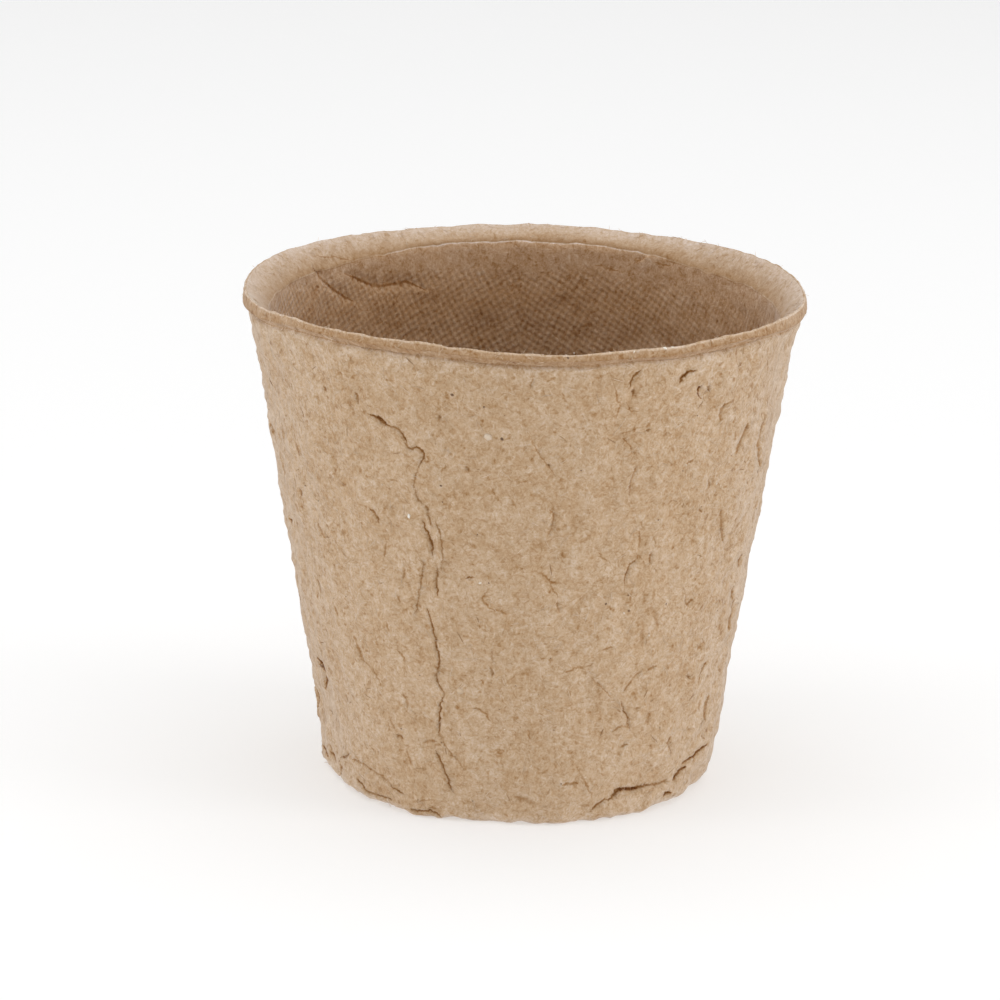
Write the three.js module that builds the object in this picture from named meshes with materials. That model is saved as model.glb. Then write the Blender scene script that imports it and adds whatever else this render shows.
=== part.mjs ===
// A round plant pot of moulded paper pulp: a tapered, open-topped shell with a flared rim
// and a dished base with a drain hole. Millimetres, +Z up, origin in the middle of the foot.
// The pot is one moulding. It is built as three solids of revolution that meet face to face
// near the lines where the form itself changes: below the rim, and above the heel.
import * as THREE from "three";

// Driving dimensions of the outside
const RIM_DIAMETER = 80; // across the lip
const HEIGHT = 71; // from the foot to the top of the lip
const BASE_DIAMETER = 55.4; // where the wall's outer face would meet the ground in a sharp corner
const HEEL_RADIUS = 2.2; // outer curve between foot and wall
const WALL_THICKNESS = 2.4; // square to the wall's face
const BASE_THICKNESS = 2.3;

// Driving dimensions of the rim's section
const LIP_OVERHANG = 1; // how far the lip stands out past the wall below it
const LIP_THICKNESS = 0.4; // across the rounded top edge
const LIP_BAND = 0.5; // height of the lip's upright outer face
const LIP_UNDERCUT = 1.5; // height of the slope from that face back in to the wall
const COVE_HEIGHT = 3; // from the ledge inside the wall to the top of the lip
const COVE_RISE = 1; // how far the cove climbs above the ledge before it leans out to the lip
const COVE_LEDGE = 0.2; // width and height of that ledge, where the wire-marked wall ends
const RIM_LAND = 0.5; // plain wall that stays on the rim's solid

// Driving dimensions of the base
const FOOT_WIDTH = 3.5; // flat ring that the pot stands on
const BASE_DISH = 1.2; // how far the middle of the base is raised above the foot
const DISH_SLOPE = 5; // width of the slope from the foot ring up to the raised middle
const INNER_HEEL_RADIUS = 3; // inner curve between floor and wall
const DRAIN_DIAMETER = 9;
const HEEL_LAND = 1; // plain wall that stays on the base's solid

// Smoothness of the round forms
const SEGMENTS = 60; // around the axis
const ARC_STEPS = 6; // along each curve of a section

// The outer face of the wall is one straight line, from the sharp base corner to the step
// under the lip.
const rimRadius = RIM_DIAMETER / 2;
const lipRadius = LIP_THICKNESS / 2;
const lipCentre = HEIGHT - lipRadius;
const bandBottom = lipCentre - LIP_BAND;
const stepHeight = bandBottom - LIP_UNDERCUT;
const baseRadius = BASE_DIAMETER / 2;
const taper = Math.atan2(rimRadius - LIP_OVERHANG - baseRadius, stepHeight);
const wallSpan = WALL_THICKNESS / Math.cos(taper); // the wall's thickness along the radius
const outerRadius = (z) => baseRadius + z * Math.tan(taper);
const innerRadius = (z) => outerRadius(z) - wallSpan;

// A fillet between a level face and a line that leans out by the taper: its height above the
// level face where it runs into the line, and the radius of its centre.
const filletHeight = (fillet) => fillet * (1 - Math.sin(taper));
const filletCentre = (cornerRadius, fillet) => cornerRadius - filletHeight(fillet) / Math.cos(taper);

// Heights where the three solids meet.
const coveBottom = HEIGHT - COVE_HEIGHT;
const rimBottom = Math.min(coveBottom, stepHeight) - RIM_LAND;
const outerHeelTop = filletHeight(HEEL_RADIUS);
const innerHeelTop = BASE_THICKNESS + filletHeight(INNER_HEEL_RADIUS);
const heelTop = Math.max(outerHeelTop, innerHeelTop) + HEEL_LAND;

const pulp = (color, roughness) => new THREE.MeshStandardMaterial({ color, roughness, metalness: 0 });
const wallPulp = pulp(0xc4a27c, 0.95);
const rimPulp = pulp(0xb18f69, 0.85);
const basePulp = pulp(0xbc9a74, 0.95);

// A named mesh made by turning a closed section round the +Z axis.
function turned(name, section, material) {
  const outline = section.getPoints(ARC_STEPS);
  const geometry = new THREE.LatheGeometry(outline, SEGMENTS).rotateX(Math.PI / 2);
  const mesh = new THREE.Mesh(geometry, material);
  mesh.name = name;
  return mesh;
}

// The rim: inside, a cove that flares from a small ledge out to a thin rounded lip; outside,
// the lip's upright band and the undercut below it that leads back to the wall.
function rim() {
  const ledgeRadius = innerRadius(coveBottom) + COVE_LEDGE;
  const ledgeTop = coveBottom + COVE_LEDGE;
  const coveLean = ledgeRadius + COVE_RISE * Math.tan(taper);
  const coveTop = (2 * Math.PI) / 3; // where the lip's round edge runs into the cove
  const section = new THREE.Path();
  section.moveTo(innerRadius(rimBottom), rimBottom);
  section.lineTo(outerRadius(rimBottom), rimBottom);
  section.lineTo(outerRadius(stepHeight), stepHeight);
  section.lineTo(rimRadius, bandBottom);
  section.lineTo(rimRadius, lipCentre);
  section.absarc(rimRadius - lipRadius, lipCentre, lipRadius, 0, coveTop, false);
  section.quadraticCurveTo(coveLean, ledgeTop + COVE_RISE, ledgeRadius, ledgeTop);
  section.lineTo(innerRadius(coveBottom), coveBottom);
  section.lineTo(innerRadius(rimBottom), rimBottom);
  return turned("rim", section, rimPulp);
}

// The side wall: a plain tapered ring of even thickness.
function wall() {
  const section = new THREE.Path();
  section.moveTo(innerRadius(heelTop), heelTop);
  section.lineTo(outerRadius(heelTop), heelTop);
  section.lineTo(outerRadius(rimBottom), rimBottom);
  section.lineTo(innerRadius(rimBottom), rimBottom);
  section.lineTo(innerRadius(heelTop), heelTop);
  return turned("wall", section, wallPulp);
}

// The base: a shallow dish with a flat foot ring, a raised middle with a drain hole through it,
// and a rounded heel that turns up into the wall.
function base() {
  const drainRadius = DRAIN_DIAMETER / 2;
  const footOuter = filletCentre(baseRadius, HEEL_RADIUS);
  const footInner = footOuter - FOOT_WIDTH;
  const dishRadius = footInner - DISH_SLOPE;
  const slopeMiddle = footInner - DISH_SLOPE / 2;
  const floorEdge = filletCentre(innerRadius(BASE_THICKNESS), INNER_HEEL_RADIUS);
  const floorCurve = BASE_THICKNESS + INNER_HEEL_RADIUS;
  const floorTop = BASE_THICKNESS + BASE_DISH;
  const section = new THREE.Path();
  section.moveTo(drainRadius, BASE_DISH);
  section.lineTo(dishRadius, BASE_DISH);
  section.bezierCurveTo(slopeMiddle, BASE_DISH, slopeMiddle, 0, footInner, 0);
  section.lineTo(footOuter, 0);
  section.absarc(footOuter, HEEL_RADIUS, HEEL_RADIUS, -Math.PI / 2, -taper, false);
  section.lineTo(outerRadius(heelTop), heelTop);
  section.lineTo(innerRadius(heelTop), heelTop);
  section.absarc(floorEdge, floorCurve, INNER_HEEL_RADIUS, -taper, -Math.PI / 2, true);
  section.lineTo(footInner, BASE_THICKNESS);
  section.bezierCurveTo(slopeMiddle, BASE_THICKNESS, slopeMiddle, floorTop, dishRadius, floorTop);
  section.lineTo(drainRadius, floorTop);
  section.lineTo(drainRadius, BASE_DISH);
  return turned("base", section, basePulp);
}

const pot = new THREE.Group();
pot.add(rim(), wall(), base());

export default pot;
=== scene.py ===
# %% [markdown]
# # A plant pot of moulded paper pulp
# The pot is one felt of paper fibres. A mould covered with wire cloth is dipped into wet pulp, the
# water is drawn off through the cloth, and the felt is pressed and dried. So the outside is rough
# and cracked, the inside carries the print of the wires, and the pressed rim is the smoothest part.
# The lesson starts from the measured solids, which fix the size and the place of everything.

# %% Load the measured solids
import math
import random
from types import SimpleNamespace

import bmesh
import bpy
import numpy as np
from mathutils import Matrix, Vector
from mathutils.bvhtree import BVHTree
from mathutils.kdtree import KDTree


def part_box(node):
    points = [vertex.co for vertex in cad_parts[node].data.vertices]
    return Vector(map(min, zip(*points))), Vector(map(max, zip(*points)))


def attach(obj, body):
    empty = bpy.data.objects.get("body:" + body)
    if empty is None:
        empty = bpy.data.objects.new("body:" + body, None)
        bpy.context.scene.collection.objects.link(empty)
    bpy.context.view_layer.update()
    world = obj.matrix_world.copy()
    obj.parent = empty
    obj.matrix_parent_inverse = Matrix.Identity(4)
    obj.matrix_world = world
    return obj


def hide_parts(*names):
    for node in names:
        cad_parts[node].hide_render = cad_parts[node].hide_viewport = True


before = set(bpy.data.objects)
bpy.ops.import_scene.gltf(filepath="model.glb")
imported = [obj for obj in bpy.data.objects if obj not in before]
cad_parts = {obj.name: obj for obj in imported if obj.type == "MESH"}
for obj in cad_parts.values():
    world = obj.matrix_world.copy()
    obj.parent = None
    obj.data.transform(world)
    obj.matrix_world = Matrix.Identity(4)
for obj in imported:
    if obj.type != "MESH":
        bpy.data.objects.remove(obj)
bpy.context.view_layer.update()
MM = 0.001

# %% [markdown]
# ## The camera
# The camera comes first, because marks on the wall are placed through it later. Its distance, tilt
# and focal length were found by laying the solid's outline over the pot's outline in a picture of
# 1000 by 1000 pixels. A long lens from almost a metre away keeps the sides nearly parallel. The
# slight roll is there because the pot leans a little to the right.

# %% Place the camera
PICTURE = 1000  # pixels along each side
SENSOR = 36.0  # millimetres
FOCAL_PIXELS = 5930
AIM_PIXEL = (520.2, 531.9)  # where the aimed-at point lies in the picture
AIM = Vector((0, 0, 35 * MM))
CAMERA_DISTANCE = 0.85
CAMERA_ELEVATION = math.radians(15.91)
CAMERA_ROLL = math.radians(1.18)

camera_data = bpy.data.cameras.new("camera")
camera_data.sensor_width = SENSOR
camera_data.lens = FOCAL_PIXELS / PICTURE * SENSOR
camera_data.shift_x = 0.5 - AIM_PIXEL[0] / PICTURE
camera_data.shift_y = AIM_PIXEL[1] / PICTURE - 0.5
camera = bpy.data.objects.new("camera", camera_data)
bpy.context.scene.collection.objects.link(camera)
bpy.context.scene.camera = camera
towards_camera = Vector((0, -math.cos(CAMERA_ELEVATION), math.sin(CAMERA_ELEVATION)))
camera.location = AIM + CAMERA_DISTANCE * towards_camera
camera.rotation_euler = towards_camera.to_track_quat("Z", "Y").to_euler()
camera.rotation_euler.rotate_axis("Z", CAMERA_ROLL)
bpy.context.view_layer.update()
print("camera at", tuple(round(x, 3) for x in camera.location), "lens", round(camera_data.lens, 1))

# %% [markdown]
# ## Helpers for node trees
# Both the shapes and the finishes of this pot are node trees. A few helpers keep the cells short:
# one adds a node with its settings and its inputs, others add arithmetic or noise. An input is
# either a plain value or the output of another node, which is then linked.

# %% Node helpers
def feed(tree, socket, value):
    """Links value to the socket if it is another node's output, and otherwise sets it."""
    if isinstance(value, bpy.types.NodeSocket):
        tree.links.new(value, socket)
    else:
        socket.default_value = value


def add_node(tree, kind, inputs=None, **settings):
    """A new node of that kind, with its settings and with the named inputs fed."""
    node = tree.nodes.new(kind)
    for name, value in settings.items():
        setattr(node, name, value)
    for name, value in (inputs or {}).items():
        feed(tree, node.inputs[name], value)
    return node


def output(tree, kind, inputs=None, **settings):
    """The first output of such a node."""
    return add_node(tree, kind, inputs, **settings).outputs[0]


def new_tree(name, kind, inputs, outputs):
    """An empty node group with named sockets, and its input and output nodes."""
    tree = bpy.data.node_groups.new(name, kind)
    for label, socket_type, default in inputs:
        socket = tree.interface.new_socket(label, in_out="INPUT", socket_type=socket_type)
        if default is not None:
            socket.default_value = default
    for label, socket_type in outputs:
        tree.interface.new_socket(label, in_out="OUTPUT", socket_type=socket_type)
    return tree, tree.nodes.new("NodeGroupInput").outputs, tree.nodes.new("NodeGroupOutput").inputs


GEOMETRY, MATERIAL = "NodeSocketGeometry", "NodeSocketMaterial"
FLOAT, INTEGER, VECTOR, COLOUR = "NodeSocketFloat", "NodeSocketInt", "NodeSocketVector", "NodeSocketColor"
print("helpers for nodes ready")

# %% Helpers for arithmetic
def maths(tree, operation, *values):
    """The output of a Math node."""
    node = add_node(tree, "ShaderNodeMath", operation=operation)
    for socket, value in zip(node.inputs, values):
        feed(tree, socket, value)
    return node.outputs[0]


def times(tree, first, *others):
    """The product of numbers."""
    for other in others:
        first = maths(tree, "MULTIPLY", first, other)
    return first


def vector_maths(tree, operation, first, second=None, scale=None):
    """The output of a Vector Math node: a number for a dot product, and otherwise a vector."""
    node = add_node(tree, "ShaderNodeVectorMath", operation=operation)
    feed(tree, node.inputs[0], first)
    if second is not None:
        feed(tree, node.inputs[1], second)
    if scale is not None:
        feed(tree, node.inputs["Scale"], scale)
    return node.outputs["Value" if operation == "DOT_PRODUCT" else "Vector"]


def combine(tree, x=0.0, y=0.0, z=0.0):
    """A vector from three numbers."""
    return output(tree, "ShaderNodeCombineXYZ", {"X": x, "Y": y, "Z": z})


def separate(tree, vector):
    """The three numbers of a vector."""
    return add_node(tree, "ShaderNodeSeparateXYZ", {0: vector}).outputs


def ramp(tree, value, low, high, start=0.0, end=1.0):
    """value stretched so that low to high becomes start to end, smoothly and held at both ends."""
    inputs = {"Value": value, "From Min": low, "From Max": high, "To Min": start, "To Max": end}
    return output(tree, "ShaderNodeMapRange", inputs, interpolation_type="SMOOTHSTEP")


print("helpers for arithmetic ready")

# %% Helpers for noise
def noise(tree, vector, waves, detail=2.0, seed=0.0, out="Fac"):
    """Four-dimensional noise of so many waves per unit, in which the fourth number is the seed."""
    inputs = {"Vector": vector, "Scale": waves, "Detail": detail, "W": seed}
    return add_node(tree, "ShaderNodeTexNoise", inputs, noise_dimensions="4D").outputs[out]


def swing(tree, pattern, amount):
    """A pattern between 0 and 1 as a swing about zero, times an amount."""
    return times(tree, maths(tree, "SUBTRACT", pattern, 0.5), amount)


def straying(tree, place, waves, amount, detail=1.0, seed=2.0):
    """A vector that swings about zero in every direction, by half the amount at most."""
    pattern = noise(tree, place, waves, detail, seed, "Color")
    about_zero = vector_maths(tree, "SUBTRACT", pattern, (0.5, 0.5, 0.5))
    return vector_maths(tree, "SCALE", about_zero, scale=amount)


print("helpers for noise ready")

# %% [markdown]
# ## The finish: mottled pulp
# Recycled pulp is never one colour. Fibres of several papers are mixed, so the surface shows broad
# pale and dark clouds, patches, a finer mottle, flocks of fibre and a grain as fine as the fibres.
# One shader group adds these five layers of noise in Object coordinates, so that every pulp material
# shares them and only sets how strong they are. Soft brown veins run between the flocks in places:
# they lie where one more noise crosses its middle value. Brown specks lie where another one is high.

# %% Shader group: pulp mottle
MOTTLE_LAYERS = {  # waves per metre, and how far the layer swings the shade
    "clouds": (75.0, 0.16),
    "patches": (220.0, 0.24),
    "mottle": (560.0, 0.38),
    "flocks": (1300.0, 0.54),
    "grain": (3200.0, 0.55),
}
LAYER_SEEDS = 3.7  # apart from one layer to the next
RAISED_FROM = 500.0  # waves per metre from which a layer also raises the surface
VEIN_WAVES = 700.0  # waves per metre of the brown veins between flocks
VEIN_WIDTH = 0.05  # as a swing of that noise
VEIN_DARKNESS = 0.12
VEIN_PATCHES = 240.0  # waves per metre of the patches that have veins
VEINED = (0.42, 0.62)  # veins come up between these values of that noise
SPECK_WAVES = 1000.0  # waves per metre of the brown specks
SPECKED = (0.60, 0.74)  # they come up between these values
SPECK_DARKNESS = 0.26


def make_mottle_group():
    inputs = [("Vector", VECTOR, None), ("Contrast", FLOAT, 1.0)]
    outputs = [("Shade", FLOAT), ("Grain Height", FLOAT)]
    tree, given, result = new_tree("pulp mottle", "ShaderNodeTree", inputs, outputs)
    place = given["Vector"]
    total = 0.0
    height = 0.0
    for number, (waves, strength) in enumerate(MOTTLE_LAYERS.values()):
        layer = noise(tree, place, waves, seed=number * LAYER_SEEDS)
        total = maths(tree, "ADD", total, swing(tree, layer, strength))
        if waves > RAISED_FROM:
            wavelength = 1000.0 / waves  # millimetres
            height = maths(tree, "MULTIPLY_ADD", layer, wavelength, height)
    edge = maths(tree, "SUBTRACT", noise(tree, place, VEIN_WAVES, seed=29.0), 0.5)
    vein = ramp(tree, maths(tree, "ABSOLUTE", edge), 0.0, VEIN_WIDTH, 1.0, 0.0)
    vein = times(tree, vein, ramp(tree, noise(tree, place, VEIN_PATCHES, seed=31.0), *VEINED))
    total = maths(tree, "MULTIPLY_ADD", vein, -VEIN_DARKNESS, total)
    speck = ramp(tree, noise(tree, place, SPECK_WAVES, 1.0, seed=43.0), *SPECKED)
    total = maths(tree, "MULTIPLY_ADD", speck, -SPECK_DARKNESS, total)
    shade = maths(tree, "MULTIPLY_ADD", total, given["Contrast"], 1.0)
    tree.links.new(shade, result["Shade"])
    tree.links.new(height, result["Grain Height"])
    return tree


mottle_group = make_mottle_group()
print("made", mottle_group.name, "with", len(MOTTLE_LAYERS), "layers")

# %% [markdown]
# ## The finish: felted fibres
# Single fibres show as short strokes that lie in every direction. Noise that is stretched along one
# direction and cut at a high value leaves such strokes. The group does that in several directions on
# a flat map of the surface, bends the map a little first so that no fibre is straight, and keeps the
# strongest stroke at each place.

# %% Shader group: felted fibres
FIBRE_DIRECTIONS = 5
DIRECTION_SEEDS = 11.3  # apart from one direction to the next
FIBRE_BENDS = 0.7  # waves per millimetre of the bends
FIBRE_BEND = 1.6  # how far they bend the map, in millimetres
STROKE_EDGE = 0.13  # over so much of the noise a stroke comes up


def make_stroke_group():
    sizes = [("Length", FLOAT, 1.6), ("Width", FLOAT, 0.14), ("Rarity", FLOAT, 0.62)]
    inputs = [("Vector", VECTOR, None), *sizes, ("Seed", FLOAT, 0.0)]
    tree, given, result = new_tree("felted fibres", "ShaderNodeTree", inputs, [("Strokes", FLOAT)])
    bend = straying(tree, given["Vector"], FIBRE_BENDS, FIBRE_BEND, seed=given["Seed"])
    bent = vector_maths(tree, "ADD", given["Vector"], bend)
    shares = [maths(tree, "DIVIDE", 1.0, given[size]) for size in ("Length", "Width")]
    finer = combine(tree, *shares)
    full = maths(tree, "ADD", given["Rarity"], STROKE_EDGE)
    strongest = 0.0
    for number in range(FIBRE_DIRECTIONS):
        turning = {"Vector": bent, "Angle": math.pi * number / FIBRE_DIRECTIONS}
        turned = output(tree, "ShaderNodeVectorRotate", turning, rotation_type="Z_AXIS")
        stretched = vector_maths(tree, "MULTIPLY", turned, finer)
        seed = maths(tree, "ADD", given["Seed"], DIRECTION_SEEDS * number)
        stroke = ramp(tree, noise(tree, stretched, 1.0, 0.0, seed), given["Rarity"], full)
        strongest = maths(tree, "MAXIMUM", strongest, stroke)
    tree.links.new(strongest, result["Strokes"])
    return tree


stroke_group = make_stroke_group()
print("made", stroke_group.name, "in", FIBRE_DIRECTIONS, "directions")

# %% [markdown]
# ## The finish: browning
# Where pulp is darker it is also browner, because light that goes deeper between the fibres loses its
# blue first and then its green. So a shade isn't simply multiplied into the colour: a small group
# raises it to a higher power for green and a higher one still for blue.

# %% Shader group: browning
BROWNING = (1.0, 1.54, 2.4)  # powers for red, green and blue


def make_browning_group():
    inputs = [("Colour", COLOUR, None), ("Shade", FLOAT, 1.0)]
    tree, given, result = new_tree("browning", "ShaderNodeTree", inputs, [("Colour", COLOUR)])
    tint = vector_maths(tree, "POWER", given["Shade"], BROWNING)
    tree.links.new(vector_maths(tree, "MULTIPLY", given["Colour"], tint), result["Colour"])
    return tree


browning_group = make_browning_group()
print("made", browning_group.name)

# %% [markdown]
# ## Print of the wire cloth, and dark marks
# The inside carries the print of the wire cloth: a pillow of pulp in every mesh, at the pitch of the
# cloth, on the flat map of the cone that the cloth was cut from. Two waves across each other give the
# pillows. The wires stray a little, and the print fades out below the rim, where the felt was pressed
# again: it reaches higher on the left and is fainter on the far right. Cracks are darker than the pulp,
# because light hardly gets out of them. The carving writes two attributes for that: how dark a mark
# is, and how far across it a place lies, in half widths.

# %% Wire print
WIRE_PITCH = (0.97, 0.86)  # millimetres, across and along the cloth
WIRE_SWING = (0.5, 0.42)  # of the waves across and along it
CLOTH_BENDS = 200.0  # waves per metre of the wires' strays
CLOTH_BEND = 0.7  # how far they stray, in millimetres
PRINT_TOP = 66.5 * MM
PRINT_FULL = 64.0 * MM
PRINT_PATCHES = 150.0  # waves per metre of patches in which it reaches higher and is fainter
PATCH_RISE = 6 * MM
PATCH_VALUES = (0.3, 0.55)  # of that noise, between which it gets to its full strength
PATCH_FAINTEST = 0.75
LEFT_SIDE = (-18 * MM, -34 * MM)
LEFT_RISE = 1.8 * MM  # how much higher it reaches on the left
RIGHT_SIDE = (14 * MM, 32 * MM)
RIGHT_STRENGTH = 0.5


def wire_print(tree, flat_map, place):
    """Swing of the pulp's pillows between the wires, about zero, fading out below the rim."""
    bend = straying(tree, place, CLOTH_BENDS, CLOTH_BEND, 2.0, 3.0)
    turns = (2 * math.pi / WIRE_PITCH[0], 2 * math.pi / WIRE_PITCH[1], 0.0)
    turned = vector_maths(tree, "MULTIPLY", vector_maths(tree, "ADD", flat_map, bend), turns)
    across, along, rest = separate(tree, vector_maths(tree, "COSINE", turned))
    pillow = maths(tree, "MULTIPLY_ADD", along, WIRE_SWING[1], times(tree, across, WIRE_SWING[0]))
    patchy = noise(tree, place, PRINT_PATCHES)
    x, y, z = separate(tree, place)
    height = maths(tree, "ADD", z, swing(tree, patchy, PATCH_RISE))
    height = maths(tree, "SUBTRACT", height, ramp(tree, x, *LEFT_SIDE, 0.0, LEFT_RISE))
    pressed = ramp(tree, patchy, *PATCH_VALUES, PATCH_FAINTEST, 1.0)
    faint_right = ramp(tree, x, *RIGHT_SIDE, 1.0, RIGHT_STRENGTH)
    reached = ramp(tree, height, PRINT_TOP, PRINT_FULL)
    return times(tree, pillow, times(tree, pressed, faint_right, reached))


print("wires per centimetre", [round(10 / pitch, 1) for pitch in WIRE_PITCH])

# %% Dark lines of the marks
RAGGED_WAVES = 4200.0  # waves per metre of a dark line's ragged edges
RAGGED_SWING = 1.1  # in half widths of the line
LINE_EDGE = (0.2, 1.35)  # it fades between these, in half widths
FAINT_WAVES = 380.0  # waves per metre of its fainter places
FAINT_VALUES = (0.34, 0.56)  # of that noise, between which it gets to its full strength
FAINTEST = 0.6


def mesh_value(tree, name):
    """A number that the mesh stores under that name."""
    return add_node(tree, "ShaderNodeAttribute", attribute_name=name).outputs["Fac"]


def crack_line(tree, place):
    """Darkness: a ragged line of painted shade and brown along each mark's middle, fainter in places."""
    ragged = swing(tree, noise(tree, place, RAGGED_WAVES), RAGGED_SWING)
    across = maths(tree, "ABSOLUTE", mesh_value(tree, "across"))
    across = maths(tree, "ADD", across, ragged)
    fading = ramp(tree, noise(tree, place, FAINT_WAVES, seed=7.0), *FAINT_VALUES, FAINTEST, 1.0)
    line = times(tree, ramp(tree, across, *LINE_EDGE, 1.0, 0.0), fading)
    return times(tree, mesh_value(tree, "crack"), line)


print("dark lines fade out between", LINE_EDGE, "half widths")

# %% [markdown]
# ## The pulp materials
# Four finishes share the groups and the dark lines. The felted outside is the roughest and has the
# most fuzz of fibre ends. The band under the lip was pressed, and its tint is darker and browner than
# the wall's. The flare inside the rim was pressed smooth. The fourth is the inside with its wire print.
# Towards the left and right sides the mottle gets stronger, as painted shade of the relief seen at a
# slant there, and all but the wire-marked finish get rougher. The shell stores one more attribute: the
# painted light and shade that make each place of the section paler or darker.

# %% Shade and height of the pulp
DARKEST_MOTTLE = 0.2  # the mottle alone gets no darker than this
FIBRE_STROKES = (  # sizes in millimetres, then how much paler and how much higher a stroke is
    ({"Length": 1.7, "Width": 0.16, "Rarity": 0.62, "Seed": 1.0}, 0.13, 0.2),
    ({"Length": 1.2, "Width": 0.30, "Rarity": 0.66, "Seed": 5.0}, -0.16, -0.1),
)
SIDES = (12 * MM, 34 * MM)  # from the middle, where the front turns into the sides
# the stronger mottle at the sides is painted shade of the relief seen at a slant there
SIDE_PAINTED_SHADE = 1.2  # the mottle is this much stronger there
SIDE_RELIEF = 1.4  # and the roughness this much
PRINT_SHADE = 0.12  # how much paler a pillow of the wire print is
PRINT_HEIGHT = 0.9  # and how much higher


def pulp_surface(tree, place, sides, contrast, wired):
    """Shade and height of the pulp at each place, without its marks."""
    flat_map = output(tree, "ShaderNodeUVMap", uv_map="flat_map")
    # painted shade of the relief at the sides: the mottle is made stronger there
    strength = maths(tree, "MULTIPLY_ADD", sides, contrast * (SIDE_PAINTED_SHADE - 1.0), contrast)
    values = {"Vector": place, "Contrast": strength}
    mottled = add_node(tree, "ShaderNodeGroup", values, node_tree=mottle_group).outputs
    shade, height = mottled["Shade"], mottled["Grain Height"]
    for sizes, lightness, lift in FIBRE_STROKES:
        values = {"Vector": flat_map, **sizes}
        strokes = output(tree, "ShaderNodeGroup", values, node_tree=stroke_group)
        shade = maths(tree, "MULTIPLY_ADD", strokes, lightness * contrast, shade)
        height = maths(tree, "MULTIPLY_ADD", strokes, lift, height)
    if wired:
        pillow = wire_print(tree, flat_map, place)
        shade = maths(tree, "MULTIPLY_ADD", pillow, PRINT_SHADE, shade)
        height = maths(tree, "MULTIPLY_ADD", pillow, PRINT_HEIGHT, height)
    else:
        height = times(tree, height, maths(tree, "MULTIPLY_ADD", sides, SIDE_RELIEF - 1.0, 1.0))
    return maths(tree, "MAXIMUM", shade, DARKEST_MOTTLE), height


print("kinds of fibre strokes:", len(FIBRE_STROKES))

# %% Make the pulp materials
PULP = (0.49, 0.338, 0.212)
CRACK_SHADE = 0.18  # of the pulp's own shade, in the darkest cracks


def make_pulp(name, tone, contrast, relief, fuzz=0.4, wired=False):
    """A pulp finish: its tint, the contrast of its mottle, its roughness in mm and its fuzz."""
    material = bpy.data.materials.new(name)
    material.use_nodes = True
    tree = material.node_tree
    shader = tree.nodes["Principled BSDF"]
    place = add_node(tree, "ShaderNodeTexCoord").outputs["Object"]
    sides = ramp(tree, maths(tree, "ABSOLUTE", separate(tree, place)[0]), *SIDES)
    shade, height = pulp_surface(tree, place, sides, contrast, wired)
    darkened = maths(tree, "MULTIPLY_ADD", crack_line(tree, place), CRACK_SHADE - 1.0, 1.0)
    # the section's painted light and shade, and the marks' dark lines, scale the shade here
    shade = times(tree, shade, mesh_value(tree, "painted_shading"), darkened)
    colour = (*(part * share for part, share in zip(PULP, tone)), 1.0)
    values = {"Colour": colour, "Shade": shade}
    browned = output(tree, "ShaderNodeGroup", values, node_tree=browning_group)
    tree.links.new(browned, shader.inputs["Base Color"])
    bump = {"Height": height, "Distance": relief * MM, "Strength": 1.0}
    tree.links.new(output(tree, "ShaderNodeBump", bump), shader.inputs["Normal"])
    shader.inputs["Roughness"].default_value = 0.95
    shader.inputs["Specular IOR Level"].default_value = 0.1
    shader.inputs["Sheen Weight"].default_value = fuzz
    shader.inputs["Sheen Roughness"].default_value = 0.4
    return material


felted_pulp = make_pulp("felted_pulp", (0.99, 0.97, 0.925), 0.86, relief=0.11, fuzz=0.45)
band_pulp = make_pulp("band_pulp", (0.79, 0.70, 0.59), 1.0, relief=0.07, fuzz=0.2)
flare_pulp = make_pulp("flare_pulp", (1.11, 1.21, 1.41), 0.6, relief=0.03)
# the inside's darker, browner tint paints part of the shade inside the pot
wire_marked_pulp = make_pulp("wire_marked_pulp", (0.85, 0.75, 0.65), 0.9, relief=0.07, wired=True)
PULPS = (felted_pulp, band_pulp, flare_pulp, wire_marked_pulp)
FELTED, BAND, FLARE, WIRE_MARKED = range(4)
print("materials", [material.name for material in PULPS])

# %% [markdown]
# ## The section of the pot
# A mould is turned, so the pot's form is one section turned round an axis. The outer sizes come from
# the solids' boxes. The section starts under the base at the drain hole, runs out to the foot ring,
# up the wall, over the lip, down the cove inside the rim and the inner wall, and back along the floor.
# Each stretch says which finish it has, how uneven the felt is there, and how much painted light and
# shade change it from its start to its end. Painted light makes the heel, the wall's top under the
# band, the shoulder, the band and the lip's top edge paler, painted shade darkens the flare downwards,
# a painted highlight makes the ledge below it a thin pale line, and the inner wall is painted lighter
# and darker in turns down its height.

# %% Sizes from the solids
rim_box, wall_box, base_box = (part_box(name) for name in ("rim", "wall", "base"))
HEIGHT = rim_box[1][2]
LIP_RADIUS = rim_box[1][0]
HEEL_TOP = base_box[1][2]
SLOPE = (wall_box[1][0] - base_box[1][0]) / (wall_box[1][2] - HEEL_TOP)
CORNER_RADIUS = base_box[1][0] - SLOPE * HEEL_TOP
TAPER = math.atan(SLOPE)
WALL_THICKNESS = 2.4 * MM
BASE_THICKNESS = 2.3 * MM
print("height", HEIGHT, "lip radius", LIP_RADIUS, "taper in degrees", round(math.degrees(TAPER), 2))

# %% Helpers for the section
def outer(height):
    """Radius of the wall's outer face."""
    return CORNER_RADIUS + SLOPE * height


def inner(height):
    """Radius of the wall's inner face."""
    return outer(height) - WALL_THICKNESS / math.cos(TAPER)


def on_outer(height):
    """The section's point on the outer face at a height."""
    return (outer(height), height)


def on_inner(height):
    """The section's point on the inner face at a height."""
    return (inner(height), height)


def fillet_radius(corner, radius):
    """Radius of the centre of a fillet between a level face and the leaning wall."""
    return corner - radius * (1 - math.sin(TAPER)) / math.cos(TAPER)


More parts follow.
